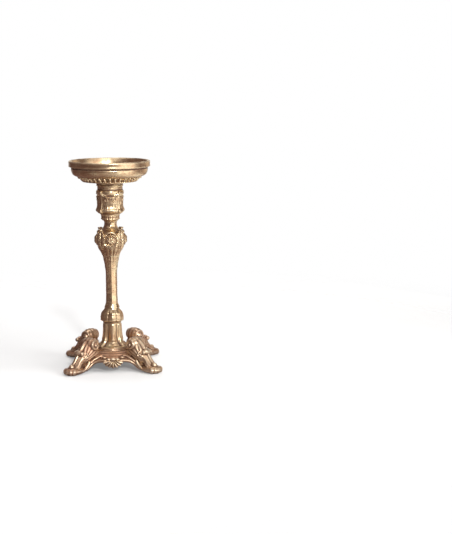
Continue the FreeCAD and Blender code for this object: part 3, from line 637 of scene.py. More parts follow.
def knop_boss_mesh():
    """Oval rosette in a raised bezel, with a crest above it and a wing scroll at each side."""
    face = 22.0
    line = contour([
        (10.0, face - 4.5),
        (9.9, face + 0.2),
        (9.3, face + 1.0, 0.25),
        (8.7, face + 0.4, 0.2),
        (8.3, face + 0.2),
        (0.3, face + 3.6, 0.15),
    ], pitch=0.3)
    distance, depth = line[:, :1], line[:, 1:]
    angle = np.arange(120) * TURN / 120
    lobes = 0.9 * (flute(angle * 9 / TURN) - 0.5) * (smooth(1.6, 3.6, distance) * smooth(8.6, 7.0, distance))
    across = 1.06 * distance * np.cos(angle)
    height = BOSS_HEIGHT + 0.90 * distance * np.sin(angle)
    shells = [barrel(np.stack([depth + lobes, across, height], -1))]

    def on_knop(across, up, stand):
        turn = across / face
        depth = face - 0.4 + stand - 0.013 * np.asarray(up) ** 2
        return np.stack([depth * np.cos(turn), depth * np.sin(turn), BOSS_HEIGHT + up], -1)

    sweep = np.linspace(0.14, 0.36, 40) * TURN
    crest = on_knop(12.4 * np.cos(sweep), 12.2 * np.sin(sweep), 0.5)
    shells.append(tube(crest, rounded_ends(40, 1.8, 0.3)))
    for hand in (-1, 1):
        sweep = np.linspace(-0.16, 0.14, 40) * TURN
        wing = on_knop(hand * (11.6 + 2.8 * ridge(sweep / 0.30)) * np.cos(sweep), 11.0 * np.sin(sweep), 0.1)
        shells.append(tube(wing, rounded_ends(40, 1.5, 0.3)))
        shells.append(ball(on_knop(hand * 8.6, -9.6, 0.2), (1.8, 1.8, 1.8), 24))
    return melded("knop_boss", joined(shells), voxel=0.26, rounds=2)


# Shaft, bead, leaf ring and stem

def shaft_relief(angle, height, radius):
    """Eight faces, barely hollow, with an arris between each pair; reeds join them under the knop."""
    rise = (height - SHAFT_FOOT) / (KNOP_FOOT - SHAFT_FOOT)
    face = np.abs(repeat(angle, 8)) * 2
    flat = radius * (math.cos(TURN / 16) / np.cos((1 - face) * TURN / 16) - 1)
    hollow = -0.22 * (1 - face ** 2)
    reeds = 0.40 * (flute(repeat(angle, 16)) - 0.55) * smooth(0.78, 1.0, rise)
    return (flat + hollow) * smooth(-0.04, 0.08, rise) * smooth(1.10, 0.86, rise) + 0.30 + reeds


def shaft_mesh():
    foot = SHAFT_FOOT
    line = contour([
        (STEM_CORE, foot),
        (10.3, foot),
        (9.6, foot + 5.5, -0.06),
        (9.2, foot + 22.0, -0.01),
        (9.0, foot + 46.0),
        (10.1, foot + 60.0, -0.03),
        (11.9, foot + 71.0, -0.03),
        (13.4, KNOP_FOOT, -0.02),
        (STEM_CORE, KNOP_FOOT),
    ], pitch=0.5)
    return turned_mesh("shaft", line, columns=320, relief=shaft_relief, uneven=0.07, seed=17)


def shaft_bead_mesh():
    line = contour([
        (STEM_CORE, BEAD_FOOT),
        (11.9, BEAD_FOOT),
        (11.6, BEAD_FOOT + 1.8, 0.06),
        (10.9, BEAD_FOOT + 3.4),
        (10.5, SHAFT_FOOT, -0.03),
        (STEM_CORE, SHAFT_FOOT),
    ], pitch=0.35)
    return turned_mesh("shaft_bead", line, columns=220, uneven=0.12, seed=19)


RING_LEAVES = 8


def leaf_ring_relief(angle, height, radius):
    """Broad leaves that fold down over the rim, each with one soft rib."""
    rise = (height - RING_FOOT) / (BEAD_FOOT - RING_FOOT)
    across = repeat(angle, RING_LEAVES)
    leaf = dome(across / 0.50) * smooth(0.12, 0.24, rise) * smooth(1.0, 0.60, rise)
    rib = 0.35 * ridge(across / 0.09)
    return leaf * (1.1 + rib * smooth(0.2, 0.4, rise)) - 0.3 * smooth(0.1, 0.2, rise)


def leaf_ring_mesh():
    foot = RING_FOOT
    line = contour([
        (STEM_CORE, foot),
        (14.2, foot),
        (14.4, foot + 2.8, 0.02),
        (16.6, foot + 4.4, 0.10),
        (17.1, foot + 7.4, 0.18),
        (16.5, foot + 13.0, 0.08),
        (15.0, foot + 18.6, 0.08),
        (12.7, foot + 22.4, 0.02),
        (11.9, BEAD_FOOT, -0.04),
        (STEM_CORE, BEAD_FOOT),
    ], pitch=0.36)
    points, quads, tris = turned(line, columns=320, relief=leaf_ring_relief)
    x, y, z = points.T
    scallop = smooth(15.0, 17.5, np.hypot(x, y)) * smooth(foot + 11, foot + 5, z)
    tongue = dome(repeat(np.arctan2(y, x), RING_LEAVES) / 0.5) - 0.4
    points[:, 2] -= 1.3 * scallop * tongue
    return mesh_of("leaf_ring", (hand_made(points, size=0.14, seed=23), quads, tris))


def stem_relief(angle, height, radius):
    """Corner ribs that sweep out towards the legs, with a fluted face between each pair."""
    rise = (height - STEM_FOOT) / (RING_FOOT - STEM_FOOT)
    across = repeat(angle + CORNER, SIDES) * TURN / SIDES * radius
    rib = (1.5 + 1.6 * smooth(0.5, 0.1, rise)) * ridge(across / (1.6 + 0.9 * smooth(0.5, 0.05, rise)))
    groove = -0.7 * ridge((np.abs(across) - 4.4) / 0.9) * smooth(0.10, 0.3, rise)
    face = np.abs(repeat(angle, SIDES)) * 2
    arris = 0.9 * (1 - face / 0.55).clip(0, 1) * smooth(0.05, 0.3, rise)
    return (rib + groove + arris) * smooth(0.0, 0.05, rise) * smooth(1.02, 0.94, rise)


def lower_stem_mesh():
    foot = STEM_FOOT
    line = contour([
        (STEM_CORE, foot),
        (26.4, foot),
        (25.8, foot + 1.0, 0.2),
        (20.0, foot + 3.2, -0.12),
        (16.2, foot + 10.0, -0.14),
        (15.0, foot + 17.0, -0.02),
        (14.2, foot + 26.0, -0.01),
        (14.0, RING_FOOT),
        (STEM_CORE, RING_FOOT),
    ], pitch=0.42)
    return turned_mesh("lower_stem", line, columns=360, relief=stem_relief, uneven=0.14, seed=29)


def stem_foot_mesh():
    line = contour([
        (STEM_CORE, DISC_FOOT),
        (30.4, DISC_FOOT),
        (31.0, DISC_FOOT + 0.9, 0.22),
        (30.0, DISC_FOOT + 1.8, 0.2),
        (28.8, DISC_FOOT + 1.9),
        (28.8, DISC_FOOT + 3.2, 0.25),
        (27.4, STEM_FOOT, 0.15),
        (STEM_CORE, STEM_FOOT),
    ], pitch=0.36)
    return turned_mesh("stem_foot", line, columns=360, uneven=0.2, seed=31)


def base_hub_mesh():
    """Hub with rippled rings round the stem's foot."""
    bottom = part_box("base_hub")[0].z / MM
    line = contour([
        (11.0, bottom + 9.0),
        (11.0, bottom),
        (HUB_REACH, bottom),
        (HUB_REACH, DISC_FOOT - 2.2),
        (HUB_REACH - 0.8, DISC_FOOT - 0.6, 0.2),
        (34.0, DISC_FOOT - 0.5, 0.2),
        (33.2, DISC_FOOT + 0.1, 0.2),
        (31.6, DISC_FOOT, 0.2),
        (30.0, DISC_FOOT - 0.2),
        (8.0, DISC_FOOT - 0.2),
    ], pitch=0.5)
    return turned_mesh("base_hub", line, columns=300)


# Legs, aprons and shells

LEG_STATIONS = [  # reach, underside, crest, half width
    (24.0, 13.0, 29.0, 5.0),
    (33.0, 12.5, 29.4, 8.5),
    (40.0, 12.0, 31.5, 10.6),
    (44.5, 11.5, 37.0, 12.0),
    (49.0, 11.0, 44.5, 12.6),
    (54.0, 10.0, 48.4, 12.6),
    (59.0, 9.0, 47.0, 12.2),
    (64.0, 7.6, 42.6, 11.4),
    (69.0, 6.0, 36.6, 10.6),
    (74.0, 4.2, 29.8, 10.0),
    (79.0, 2.6, 22.8, 10.2),
    (84.0, 1.8, 16.4, 10.6),
    (90.0, 1.8, 11.0, 11.0),
]
SHOULDER = (50.6, 40.8)  # reach and height of the roll's middle
SHOULDER_SIZE = (11.2, 13.8, 11.0)  # half its depth, width and height
FLANK_VOLUTE = (70.5, 27.0)  # reach and height of its eye
TOE_REACH = 90.0


def leg_body():
    """Leg on the +X side: a domed shoulder that falls in a keeled scroll to the ankle."""
    rows, columns = 210, 200
    station = curve_through(LEG_STATIONS, rows)
    reach, under, crest, half = (station[:, k:k + 1] for k in range(4))
    angle = (np.arange(columns) * TURN / columns)[None, :]
    up = 0.5 - 0.5 * np.cos(angle)
    keel = smooth(56.0, 66.0, reach)
    across = half * np.sin(angle) * (1 - (0.10 + 0.30 * keel) * up ** 3)
    height = under + (crest - under) * up
    points = np.stack([reach + 0 * angle, across, height], -1)
    normal = np.cross(np.gradient(points, axis=1), np.gradient(points, axis=0))
    normal /= np.linalg.norm(normal, axis=2, keepdims=True) + 1e-9
    return points, normal, up


def leg_carving(points, up):
    """Height of the leaf, its veins, the keel, the flank volutes and the scooped heel over the leg's body."""
    reach, across, height = points[..., 0], points[..., 1], points[..., 2]
    side = np.abs(across)
    hem = 0.40 - 0.06 * np.abs(np.sin(math.pi * reach / 11.0)) + 0.16 * smooth(66, 80, reach)
    leaf = smooth(hem - 0.04, hem + 0.04, up)
    fan = np.arctan2(height - 18.0, 74.0 - reach)
    veins = 0.7 * flute(fan * 5.2) * smooth(2.4, 5.0, side) * smooth(78, 68, reach)
    veins = veins + 0.6 * flute(side / 3.4) * smooth(70, 78, reach)
    keel = 1.5 * ridge(side / 1.4) - 0.5 * ridge((side - 3.6) / 1.0)
    carved = leaf * (0.9 + veins) + keel * smooth(0.80, 0.94, up) * smooth(56, 64, reach)
    eye_reach, eye_height = FLANK_VOLUTE
    volute = 2.3 * spiral_relief(reach - eye_reach, height - eye_height, radius=7.0, winds=1.4, hand=-1)
    flank = smooth(0.45, 0.75, side / 12.0)
    scooped = -2.8 * ridge(np.hypot(reach - 75.0, (height - 13.0) * 0.9) / 5.4) * flank
    return (np.maximum(carved, volute * flank) + scooped) * smooth(38, 46, reach) * smooth(94, 86, reach)


def shoulder_roll():
    """Domed roll at the head of the leg: reeds run over it and a volute winds into each end."""
    tilt = np.linspace(-0.495, 0.495, 110)[:, None] * math.pi
    angle = np.arange(130)[None, :] * TURN / 130
    girth = np.cos(tilt) ** 0.72
    end = np.sign(tilt) * np.abs(np.sin(tilt)) ** 0.9
    deep, wide, tall = SHOULDER_SIZE
    across = wide * end
    reeds = 0.75 * (flute(across / 6.4) - 0.6) * np.abs(np.cos(tilt))
    reach, up = deep * girth * np.cos(angle), tall * girth * np.sin(angle)
    winding = 1.7 * spiral_relief(reach, up, radius=0.86 * tall, winds=1.4, hand=1)
    winding = winding * smooth(0.45, 0.8, np.abs(np.sin(tilt)))
    out = reeds + winding * np.abs(np.cos(tilt)) * 0.4
    x = SHOULDER[0] + reach + out * np.cos(angle)
    y = across + 0 * angle + np.sign(tilt) * winding
    z = SHOULDER[1] + up + out * np.sin(angle)
    return barrel(np.stack([x, y, z], -1)[:, ::-1])


def leg_mesh():
    """Leg with its shoulder roll, rib, toes and heels; its underside is planed flat on the pad."""
    points, normal, up = leg_body()
    points = points + normal * leg_carving(points, up)[..., None]
    shells = [barrel(points), shoulder_roll()]
    rib = [(30.4, 29.6), (34.5, 30.0), (38.6, 31.6), (41.6, 36.0), (43.2, 41.0), (46.0, 46.6)]
    rib = curve_through([(out, 0, up) for out, up in rib], 50)
    shells.append(tube(rib, rounded_ends(50, 2.5, 0.2)))
    shells.append(ball((TOE_REACH - 5.0, 0, PAD_TOP + 4.4), (18.0, 14.6, 6.4), 64))
    for turn in (-1.16, -0.58, 0.0, 0.58, 1.16):
        centre = (TOE_REACH + 8.0 * math.cos(turn), 10.4 * math.sin(turn), PAD_TOP + 4.0)
        shells.append(ball(centre, (5.0, 3.9, 4.6), 36))
    shells.append(ball((TOE_REACH + 0.6, 0, PAD_TOP + 10.6), (4.6, 4.6, 4.6), 36))
    shells.append(ball((74.4, 0, 31.4), (4.8, 7.6, 4.4), 44))
    for hand in (-1, 1):
        shells.append(ball((74.4, hand * 7.4, 31.0), (3.4, 2.6, 3.4), 32))
        heel = [(63.0, 12.6, 19.0), (68.0, 12.6, 12.0), (74.0, 12.2, 6.6), (82.0, 12.4, 5.0)]
        heel = curve_through([(out, hand * side, up) for out, side, up in heel], 40)
        shells.append(tube(heel, rounded_ends(40, 2.4)))
    mesh = melded("leg", joined(shells), voxel=0.36, rounds=3)
    points = points_of(mesh)
    points[:, 2] = np.maximum(points[:, 2], PAD_TOP)
    mesh.vertices.foreach_set("co", (points * MM).ravel())
    mesh.update()
    return mesh


APRON_REACH = -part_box("apron_1")[0].y / MM
APRON_TOP = DISC_FOOT - 0.3
APRON_EDGE = 19.5  # height of its edge at the middle


def along_edge(hand, steps, count):
    """Line beside one half of the apron's edge, through (across, inwards, height) steps."""
    line = [(hand * across, inwards - APRON_REACH, height) for across, inwards, height in steps]
    return curve_through(line, count)


RIM = [(9.0, 0.0, 18.6), (14.0, 1.2, 18.4), (20.0, 3.2, 17.8), (27.0, 4.4, 16.2), (33.0, 3.6, 12.6),
       (38.0, 0.4, 8.6), (44.0, -4.4, 4.8)]
STRAP = [(14.0, 11.4, 23.6), (20.0, 11.0, 23.6), (25.0, 8.0, 21.6), (30.0, 6.4, 18.8), (36.0, 4.0, 13.8)]


def apron_mesh():
    """Web between two legs on the -Y side: rippled top, strap scrolls by its edge and a rolled rim."""
    rows, columns = 100, 180
    across = np.linspace(-44, 44, columns)[None, :]
    side = np.abs(across)
    out = np.linspace(0, 1, rows)[:, None]
    edge = APRON_REACH * (0.95 + 0.05 * np.cos(TURN * across / 62.0)) + 5.0 * smooth(30, 46, side)
    inner = np.maximum(np.sqrt(np.maximum(34.0 ** 2 - across ** 2, 0)), side - 6.0) + 0 * out
    depth = inner + (edge - inner) * out
    fall = APRON_TOP - APRON_EDGE
    crown = APRON_TOP - fall * out ** 1.5 - 8.0 * smooth(24, 44, side) * out
    radius = np.hypot(across, depth)
    ripples = 1.1 * flute(radius / 6.2) * smooth(33, 36, radius) * smooth(56, 52, radius)
    ripples = ripples * smooth(34, 26, side)
    lower = APRON_EDGE - 3.2 - 11.0 * smooth(20, 44, side) + 0 * out
    lower = np.minimum(lower, crown - 2.5)
    top = np.stack([across + 0 * out, -depth, crown + ripples], -1)
    bottom = np.stack([across + 0 * out, -depth, lower], -1)
    shells = [slab(top[:, ::-1], bottom[:, ::-1])]
    for hand in (-1, 1):
        shells.append(tube(along_edge(hand, RIM, 90), rounded_ends(90, 2.3)))
        curl = np.linspace(0, 1.5 * TURN, 70)
        wind = 4.4 * (1 - 0.78 * curl / curl[-1])
        x = hand * (14.0 - wind * np.sin(curl))
        y = 7.0 - APRON_REACH + wind * np.cos(curl)
        z = 22.3 - 0.18 * wind * np.cos(curl)
        shells.append(tube(np.stack([x, y, z], -1), rounded_ends(70, 1.7)))
        shells.append(tube(along_edge(hand, STRAP, 60), rounded_ends(60, 1.9)))
    return melded("apron", joined(shells), voxel=0.36, rounds=2)


def shell_mesh():
    """Fan of lobes that hangs under the middle of the apron's edge."""
    rows, columns = 60, 180
    lobes, spread = 7, 2.72
    turn = np.linspace(-spread / 2, spread / 2, columns)[None, :]
    out = np.linspace(0.06, 1, rows)[:, None]
    phase = turn / spread * lobes + 0.5
    scallop = 1 + 0.10 * (flute(phase + 0.5) - 1)
    across = 16.6 * out * np.sin(turn) * scallop
    down = 12.8 * out * np.cos(turn) * scallop
    ribs = 0.45 + 0.55 * flute(phase + 0.5) * smooth(0.1, 0.5, out)
    swell = (1.2 + 3.4 * np.sin(out * math.pi * 0.62)) * ribs
    hinge = np.array([0, 0.6 - APRON_REACH, 20.4])
    front = hinge + np.stack([across, -swell, -down], -1)
    back = hinge + np.stack([across, 2.6 - 0.8 * out + 0 * turn, -down], -1)
    shells = [slab(front, back), ball(hinge + np.array([0, -1.6, 1.0]), (4.8, 3.2, 2.6), 32)]
    for hand in (-1, 1):
        shells.append(ball(hinge + np.array([hand * 6.6, -1.0, 0.6]), (3.6, 2.6, 2.2), 28))
    return melded("shell", joined(shells), voxel=0.27, rounds=2)


# Finishes

def new_finish(name):
    """New material, with its node tree and its shader."""
    finish = bpy.data.materials.new(name)
    finish.use_nodes = True
    return finish, finish.node_tree, finish.node_tree.nodes["Principled BSDF"]


def place_on(tree):
    """Place on the piece, in metres."""
    return tree.nodes.new("ShaderNodeTexCoord").outputs["Object"]


def give(tree, socket, value):
    """Sets a socket to a number or a colour, or links another socket to it."""
    if isinstance(value, (int, float, tuple)):
        socket.default_value = value
    else:
        tree.links.new(value, socket)


def noise(tree, place, scale, detail, roughness=0.5):
    """Cloudy value at a place."""
    node = tree.nodes.new("ShaderNodeTexNoise")
    tree.links.new(place, node.inputs["Vector"])
    for name, value in (("Scale", scale), ("Detail", detail), ("Roughness", roughness)):
        node.inputs[name].default_value = value
    return node.outputs["Fac"]


def figure(tree, operation, first, second, clamp=False):
    """Arithmetic on two values, each a socket or a number."""
    node = tree.nodes.new("ShaderNodeMath")
    node.operation = operation
    node.use_clamp = clamp
    give(tree, node.inputs[0], first)
    give(tree, node.inputs[1], second)
    return node.outputs[0]


def summed(tree, *terms):
    """Sum of sockets, each times its weight."""
    parts = [figure(tree, "MULTIPLY", socket, weight) for socket, weight in terms]
    total = parts[0]
    for part in parts[1:]:
        total = figure(tree, "ADD", total, part)
    return total


def stretch(tree, value, low, high, to_low=0.0, to_high=1.0):
    """Eases a value from one range to another."""
    node = tree.nodes.new("ShaderNodeMapRange")
    node.interpolation_type = "SMOOTHSTEP"
    tree.links.new(value, node.inputs["Value"])
    for name, number in (("From Min", low), ("From Max", high), ("To Min", to_low), ("To Max", to_high)):
        node.inputs[name].default_value = number
    return node.outputs["Result"]


def blended(tree, share, first, second):
    """Mixes two colours by a share; each may be a socket."""
    node = tree.nodes.new("ShaderNodeMix")
    node.data_type = "RGBA"
    for name, value in (("Factor", share), ("A", first), ("B", second)):
        give(tree, node.inputs[name], value)
    return node.outputs["Result"]


def scaled_place(tree, place, factors):
    """Place with each of its parts scaled, which draws a pattern out or presses it together."""
    node = tree.nodes.new("ShaderNodeVectorMath")
    node.operation = "MULTIPLY"
    tree.links.new(place, node.inputs[0])
    node.inputs[1].default_value = factors
    return node.outputs[0]


def bumped(tree, shader, height, strength, distance):
    """Raises a height off the surface, at most by a distance in metres."""
    bump = tree.nodes.new("ShaderNodeBump")
    bump.inputs["Strength"].default_value = strength
    bump.inputs["Distance"].default_value = distance
    tree.links.new(height, bump.inputs["Height"])
    tree.links.new(bump.outputs["Normal"], shader.inputs["Normal"])


def node_group(name, inputs, outputs):
    """Shader group with a Place and other named sockets; an input is (name, kind, default)."""
    group = bpy.data.node_groups.new(name, "ShaderNodeTree")
    for title, kind, value in [("Place", "Vector", (0, 0, 0)), *inputs]:
        socket = group.interface.new_socket(title, in_out="INPUT", socket_type="NodeSocket" + kind)
        socket.default_value = value
    for title, kind in outputs:
        group.interface.new_socket(title, in_out="OUTPUT", socket_type="NodeSocket" + kind)
    return group, group.nodes.new("NodeGroupInput").outputs, group.nodes.new("NodeGroupOutput").inputs


def leaf_tone_group():
    """Squares and flecks of gold leaf, paler and deeper."""
    group, given, put = node_group(
        "gold leaf tone",
        [("Pale", "Color", (1, 1, 1, 1)), ("Deep", "Color", (0, 0, 0, 1))],
        [("Color", "Color"), ("Mottle", "Float")])
    broad = noise(group, given["Place"], scale=55.0, detail=4.0, roughness=0.6)
    flecks = noise(group, given["Place"], scale=420.0, detail=3.0, roughness=0.65)
    share = stretch(group, summed(group, (broad, 0.6), (flecks, 0.4)), 0.36, 0.64)
    group.links.new(blended(group, share, given["Deep"], given["Pale"]), put["Color"])
    group.links.new(share, put["Mottle"])
    return group


def old_glaze_group():
    """Brown glaze that stayed in the hollows and in drifts on the flats."""
    group, given, put = node_group(
        "antique glaze",
        [("Hollow", "Float", 0.0), ("Drift", "Float", 0.3), ("Depth", "Float", 1.0)],
        [("Mask", "Float")])
    cloud = noise(group, given["Place"], scale=95.0, detail=6.0, roughness=0.7)
    specks = noise(group, given["Place"], scale=900.0, detail=2.0, roughness=0.6)
    rough = summed(group, (cloud, 0.7), (specks, 0.3))
    drift = figure(group, "MULTIPLY", stretch(group, rough, 0.52, 0.68), given["Drift"])
    pooled = stretch(group, summed(group, (given["Hollow"], given["Depth"]), (rough, 0.5)), 0.32, 0.95)
    group.links.new(figure(group, "MAXIMUM", pooled, drift, clamp=True), put["Mask"])
    return group


def rubbed_clay_group():
    """Red-brown clay that shows where the leaf is rubbed from edges and proud places."""
    group, given, put = node_group(
        "rubbed clay",
        [("Edge", "Float", 0.0), ("Wear", "Float", 0.3), ("Patches", "Float", 0.2)],
        [("Mask", "Float")])
    cloud = noise(group, given["Place"], scale=150.0, detail=6.0, roughness=0.72)
    worn = figure(group, "MULTIPLY", given["Edge"], given["Wear"])
    worn = figure(group, "MULTIPLY", worn, stretch(group, cloud, 0.42, 0.58))
    broad = noise(group, given["Place"], scale=38.0, detail=5.0, roughness=0.66)
    patches = figure(group, "MULTIPLY", stretch(group, broad, 0.50, 0.66), given["Patches"])
    group.links.new(figure(group, "MAXIMUM", worn, patches, clamp=True), put["Mask"])
    return group


def hand_tooling_group():
    """Burnisher strokes, pits and cracks in the gesso."""
    group, given, put = node_group(
        "hand tooling",
        [("Coarse", "Float", 1.0)],
        [("Height", "Float"), ("Cracks", "Float")])
    drawn_out = scaled_place(group, given["Place"], (1.0, 1.0, 0.22))
    strokes = noise(group, drawn_out, scale=520.0, detail=3.0, roughness=0.6)
    pits = noise(group, given["Place"], scale=1300.0, detail=2.0)
    waves = noise(group, given["Place"], scale=120.0, detail=2.0)
    cells = group.nodes.new("ShaderNodeTexVoronoi")
    cells.feature = "DISTANCE_TO_EDGE"
    cells.inputs["Scale"].default_value = 170.0
    group.links.new(given["Place"], cells.inputs["Vector"])
    cracks = stretch(group, cells.outputs["Distance"], 0.0, 0.035, 1.0, 0.0)
    cracks = figure(group, "MULTIPLY", cracks, stretch(group, waves, 0.5, 0.7))
    coarse = figure(group, "MULTIPLY", given["Coarse"], 1.2)
    height = summed(group, (strokes, 0.35), (pits, 0.15), (waves, coarse), (cracks, -0.25))
    group.links.new(height, put["Height"])
    group.links.new(cracks, put["Cracks"])
    return group


LEAF_TONE = leaf_tone_group()
OLD_GLAZE = old_glaze_group()
RUBBED_CLAY = rubbed_clay_group()
HAND_TOOLING = hand_tooling_group()


def placed(tree, group, **values):
    """A shared group in a material, with sockets or numbers for its inputs; gives back its outputs."""
    node = tree.nodes.new("ShaderNodeGroup")
    node.node_tree = group
    for name, value in values.items():
        give(tree, node.inputs[name], value)
    return node.outputs


CLAY = (0.40, 0.19, 0.11, 1)
GLAZE = (0.105, 0.052, 0.030, 1)


def gilt(name, leaf, drift, depth, wear, patches, roughness, coarse, crest=0.6):
    """Old gilding: leaf over red clay on gesso, glazed brown in its hollows, with paler edges of burnish and
    painted highlight.
    """
    pale, deep, burnish_highlight_colour = leaf
    finish, tree, shader = new_finish(name)
    place = place_on(tree)
    marks = {}
    for mark in ("hollow", "edge"):
        node = tree.nodes.new("ShaderNodeAttribute")
        node.attribute_name = mark
        marks[mark] = node.outputs["Fac"]
    tone = placed(tree, LEAF_TONE, Place=place, Pale=pale, Deep=deep)
    tooling = placed(tree, HAND_TOOLING, Place=place, Coarse=coarse)
    dark = placed(tree, OLD_GLAZE, Place=place, Hollow=marks["hollow"], Drift=drift, Depth=depth)["Mask"]
    cracked = figure(tree, "MULTIPLY", tooling["Cracks"], 0.5)
    dark = figure(tree, "MAXIMUM", dark, cracked, clamp=True)
    bare = placed(tree, RUBBED_CLAY, Place=place, Edge=marks["edge"], Wear=wear, Patches=patches)["Mask"]
    colour = blended(tree, bare, tone["Color"], CLAY)
    # Paler leaf on the edges: burnished leaf, and in part a painted highlight
    burnish_and_highlight = figure(tree, "MULTIPLY", stretch(tree, marks["edge"], 0.2, 0.8), crest)
    colour = blended(tree, burnish_and_highlight, colour, burnish_highlight_colour)
    colour = blended(tree, dark, colour, GLAZE)
    tree.links.new(colour, shader.inputs["Base Color"])
    dull = figure(tree, "MAXIMUM", figure(tree, "MULTIPLY", dark, 0.85), figure(tree, "MULTIPLY", bare, 0.45))
    tree.links.new(figure(tree, "SUBTRACT", 1.0, dull, clamp=True), shader.inputs["Metallic"])
    dulling = summed(tree, (tone["Mottle"], -0.10), (dark, 0.22), (bare, 0.12))
    tree.links.new(figure(tree, "ADD", roughness, dulling, clamp=True), shader.inputs["Roughness"])
    bumped(tree, shader, tooling["Height"], strength=0.30, distance=0.00035)
    return finish


# Gold leaf, each as its pale, deep and burnished colour; the burnished colour is also a painted highlight on
# the edges
YELLOW_LEAF = ((0.84, 0.675, 0.42, 1), (0.63, 0.41, 0.24, 1), (0.90, 0.765, 0.50, 1))
BASE_LEAF = ((0.84, 0.675, 0.455, 1), (0.63, 0.42, 0.26, 1), (0.92, 0.80, 0.59, 1))
# Darker leaf for the legs that face away from the key lamp: more worn clay, and painted shade
RUBBED_SHADED_LEAF = ((0.72, 0.50, 0.325, 1), (0.50, 0.29, 0.18, 1), (0.92, 0.79, 0.58, 1))
WORN_LEAF = ((0.55, 0.33, 0.21, 1), (0.38, 0.20, 0.12, 1), (0.88, 0.72, 0.50, 1))

GILT_PAN = gilt("gilt_pan", YELLOW_LEAF, drift=0.35, depth=0.9, wear=0.5, patches=0.25,
                roughness=0.36, coarse=1.0)
GILT_CARVED = gilt("gilt_carved", YELLOW_LEAF, drift=0.25, depth=1.3, wear=0.4, patches=0.20,
                   roughness=0.36, coarse=0.7)
GILT_SMOOTH = gilt("gilt_smooth", YELLOW_LEAF, drift=0.20, depth=1.0, wear=0.3, patches=0.25,
                   roughness=0.30, coarse=0.5)
GILT_BASE = gilt("gilt_base", BASE_LEAF, drift=0.34, depth=1.5, wear=0.4, patches=0.60,
                 roughness=0.36, coarse=0.8)
GILT_RUBBED_SHADED = gilt("gilt_rubbed_shaded", RUBBED_SHADED_LEAF, drift=0.36, depth=1.5, wear=0.4, patches=0.75,
                   roughness=0.40, coarse=0.8, crest=0.5)
GILT_WORN = gilt("gilt_worn", WORN_LEAF, drift=0.30, depth=1.0, wear=0.2, patches=0.30,
                 roughness=0.42, coarse=0.8, crest=0.45)


def plain_metal(name, colour, roughness):
    """Turned or plated metal with fine tool marks."""
    finish, tree, shader = new_finish(name)
    shader.inputs["Metallic"].default_value = 1.0
    pressed = scaled_place(tree, place_on(tree), (1.0, 1.0, 9.0))
    lines = noise(tree, pressed, scale=600.0, detail=3.0)
    shaded = tuple(part * 0.7 for part in colour[:3]) + (1,)
    tree.links.new(blended(tree, lines, colour, shaded), shader.inputs["Base Color"])
    gloss = figure(tree, "ADD", roughness, figure(tree, "MULTIPLY", lines, 0.15))
    tree.links.new(gloss, shader.inputs["Roughness"])
    bumped(tree, shader, lines, strength=0.2, distance=0.0001)
    return finish


def fibrous(name, colour, dark, scale):
    """Felt or raw wood: short fibres and slow tone."""
    finish, tree, shader = new_finish(name)
    pressed = scaled_place(tree, place_on(tree), (1.0, 1.0, 3.0))
    fibre = noise(tree, pressed, scale=scale, detail=5.0, roughness=0.7)
    tree.links.new(blended(tree, fibre, dark, colour), shader.inputs["Base Color"])
    shader.inputs["Roughness"].default_value = 0.9
    bumped(tree, shader, fibre, strength=0.5, distance=0.0003)
    return finish


ZINC = plain_metal("zinc_steel", (0.62, 0.63, 0.64, 1), roughness=0.35)
BRASS = plain_metal("brass", (0.72, 0.56, 0.26, 1), roughness=0.3)
RAW_WOOD = fibrous("bare_beech", (0.62, 0.45, 0.28, 1), dark=(0.48, 0.32, 0.18, 1), scale=300.0)
FELT = fibrous("brown_felt", (0.13, 0.085, 0.06, 1), dark=(0.06, 0.04, 0.03, 1), scale=1800.0)


# Putting the pieces in place

FRONT_RIGHT = 3  # count of the leg that keeps the brighter leaf; the other legs get a darker finish that is partly painted shade


def dress():
    panels = [f"capital_panel_{k + 1}" for k in range(SIDES)]
    piece("pan_gilt", pan_mesh(), GILT_PAN, "drip_pan")
    piece("egg_ring_gilt", egg_ring_mesh(), GILT_CARVED, "egg_ring")
    piece("pan_cove_gilt", pan_cove_mesh(), GILT_SMOOTH, "pan_cove")
    piece("capital_gilt", capital_mesh(), GILT_CARVED, "capital", *panels)
    piece("neck_collar_gilt", neck_collar_mesh(), GILT_CARVED, "neck_collar")
    piece("neck_spool_gilt", neck_spool_mesh(), GILT_SMOOTH, "neck_spool")
    piece("knop_gilt", knop_mesh(), GILT_CARVED, "knop")
    piece("shaft_gilt", shaft_mesh(), GILT_SMOOTH, "shaft")
    piece("shaft_bead_gilt", shaft_bead_mesh(), GILT_SMOOTH, "shaft_bead")
    piece("leaf_ring_gilt", leaf_ring_mesh(), GILT_CARVED, "leaf_ring")
    piece("lower_stem_gilt", lower_stem_mesh(), GILT_CARVED, "lower_stem")
    piece("stem_foot_gilt", stem_foot_mesh(), GILT_WORN, "stem_foot")
    piece("base_hub_gilt", base_hub_mesh(), GILT_WORN, "base_hub")
    quarters = [
        ("capital_scroll", capital_scroll_mesh(), GILT_CARVED, CORNER),
        ("knop_leaf", knop_leaf_mesh(), GILT_CARVED, CORNER),
        ("knop_boss", knop_boss_mesh(), GILT_CARVED, 0.0),
        ("leg", leg_mesh(), GILT_BASE, CORNER),
        ("apron", apron_mesh(), GILT_WORN, 0.0),
        ("shell", shell_mesh(), GILT_BASE, 0.0),
    ]
    for name, mesh, finish, start in quarters:
        for k in range(SIDES):
            copy = turned_copy(mesh, f"{name}_{k + 1}_gilt", start + TURN * k / SIDES)
            # The three legs away from the key lamp take the darker leaf: more wear, and painted shade
            rubbed = name == "leg" and k != FRONT_RIGHT
            piece(f"{name}_{k + 1}_gilt", copy, GILT_RUBBED_SHADED if rubbed else finish, f"{name}_{k + 1}")
    kept_solids = [("tie_rod", ZINC), ("base_washer", ZINC), ("base_nut", ZINC), ("pan_insert", BRASS),
                   ("leg_dowels", RAW_WOOD), ("felt_pads", FELT)]
    for node, finish in kept_solids:
        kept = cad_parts[node]
        kept.data.materials.clear()
        kept.data.materials.append(finish)
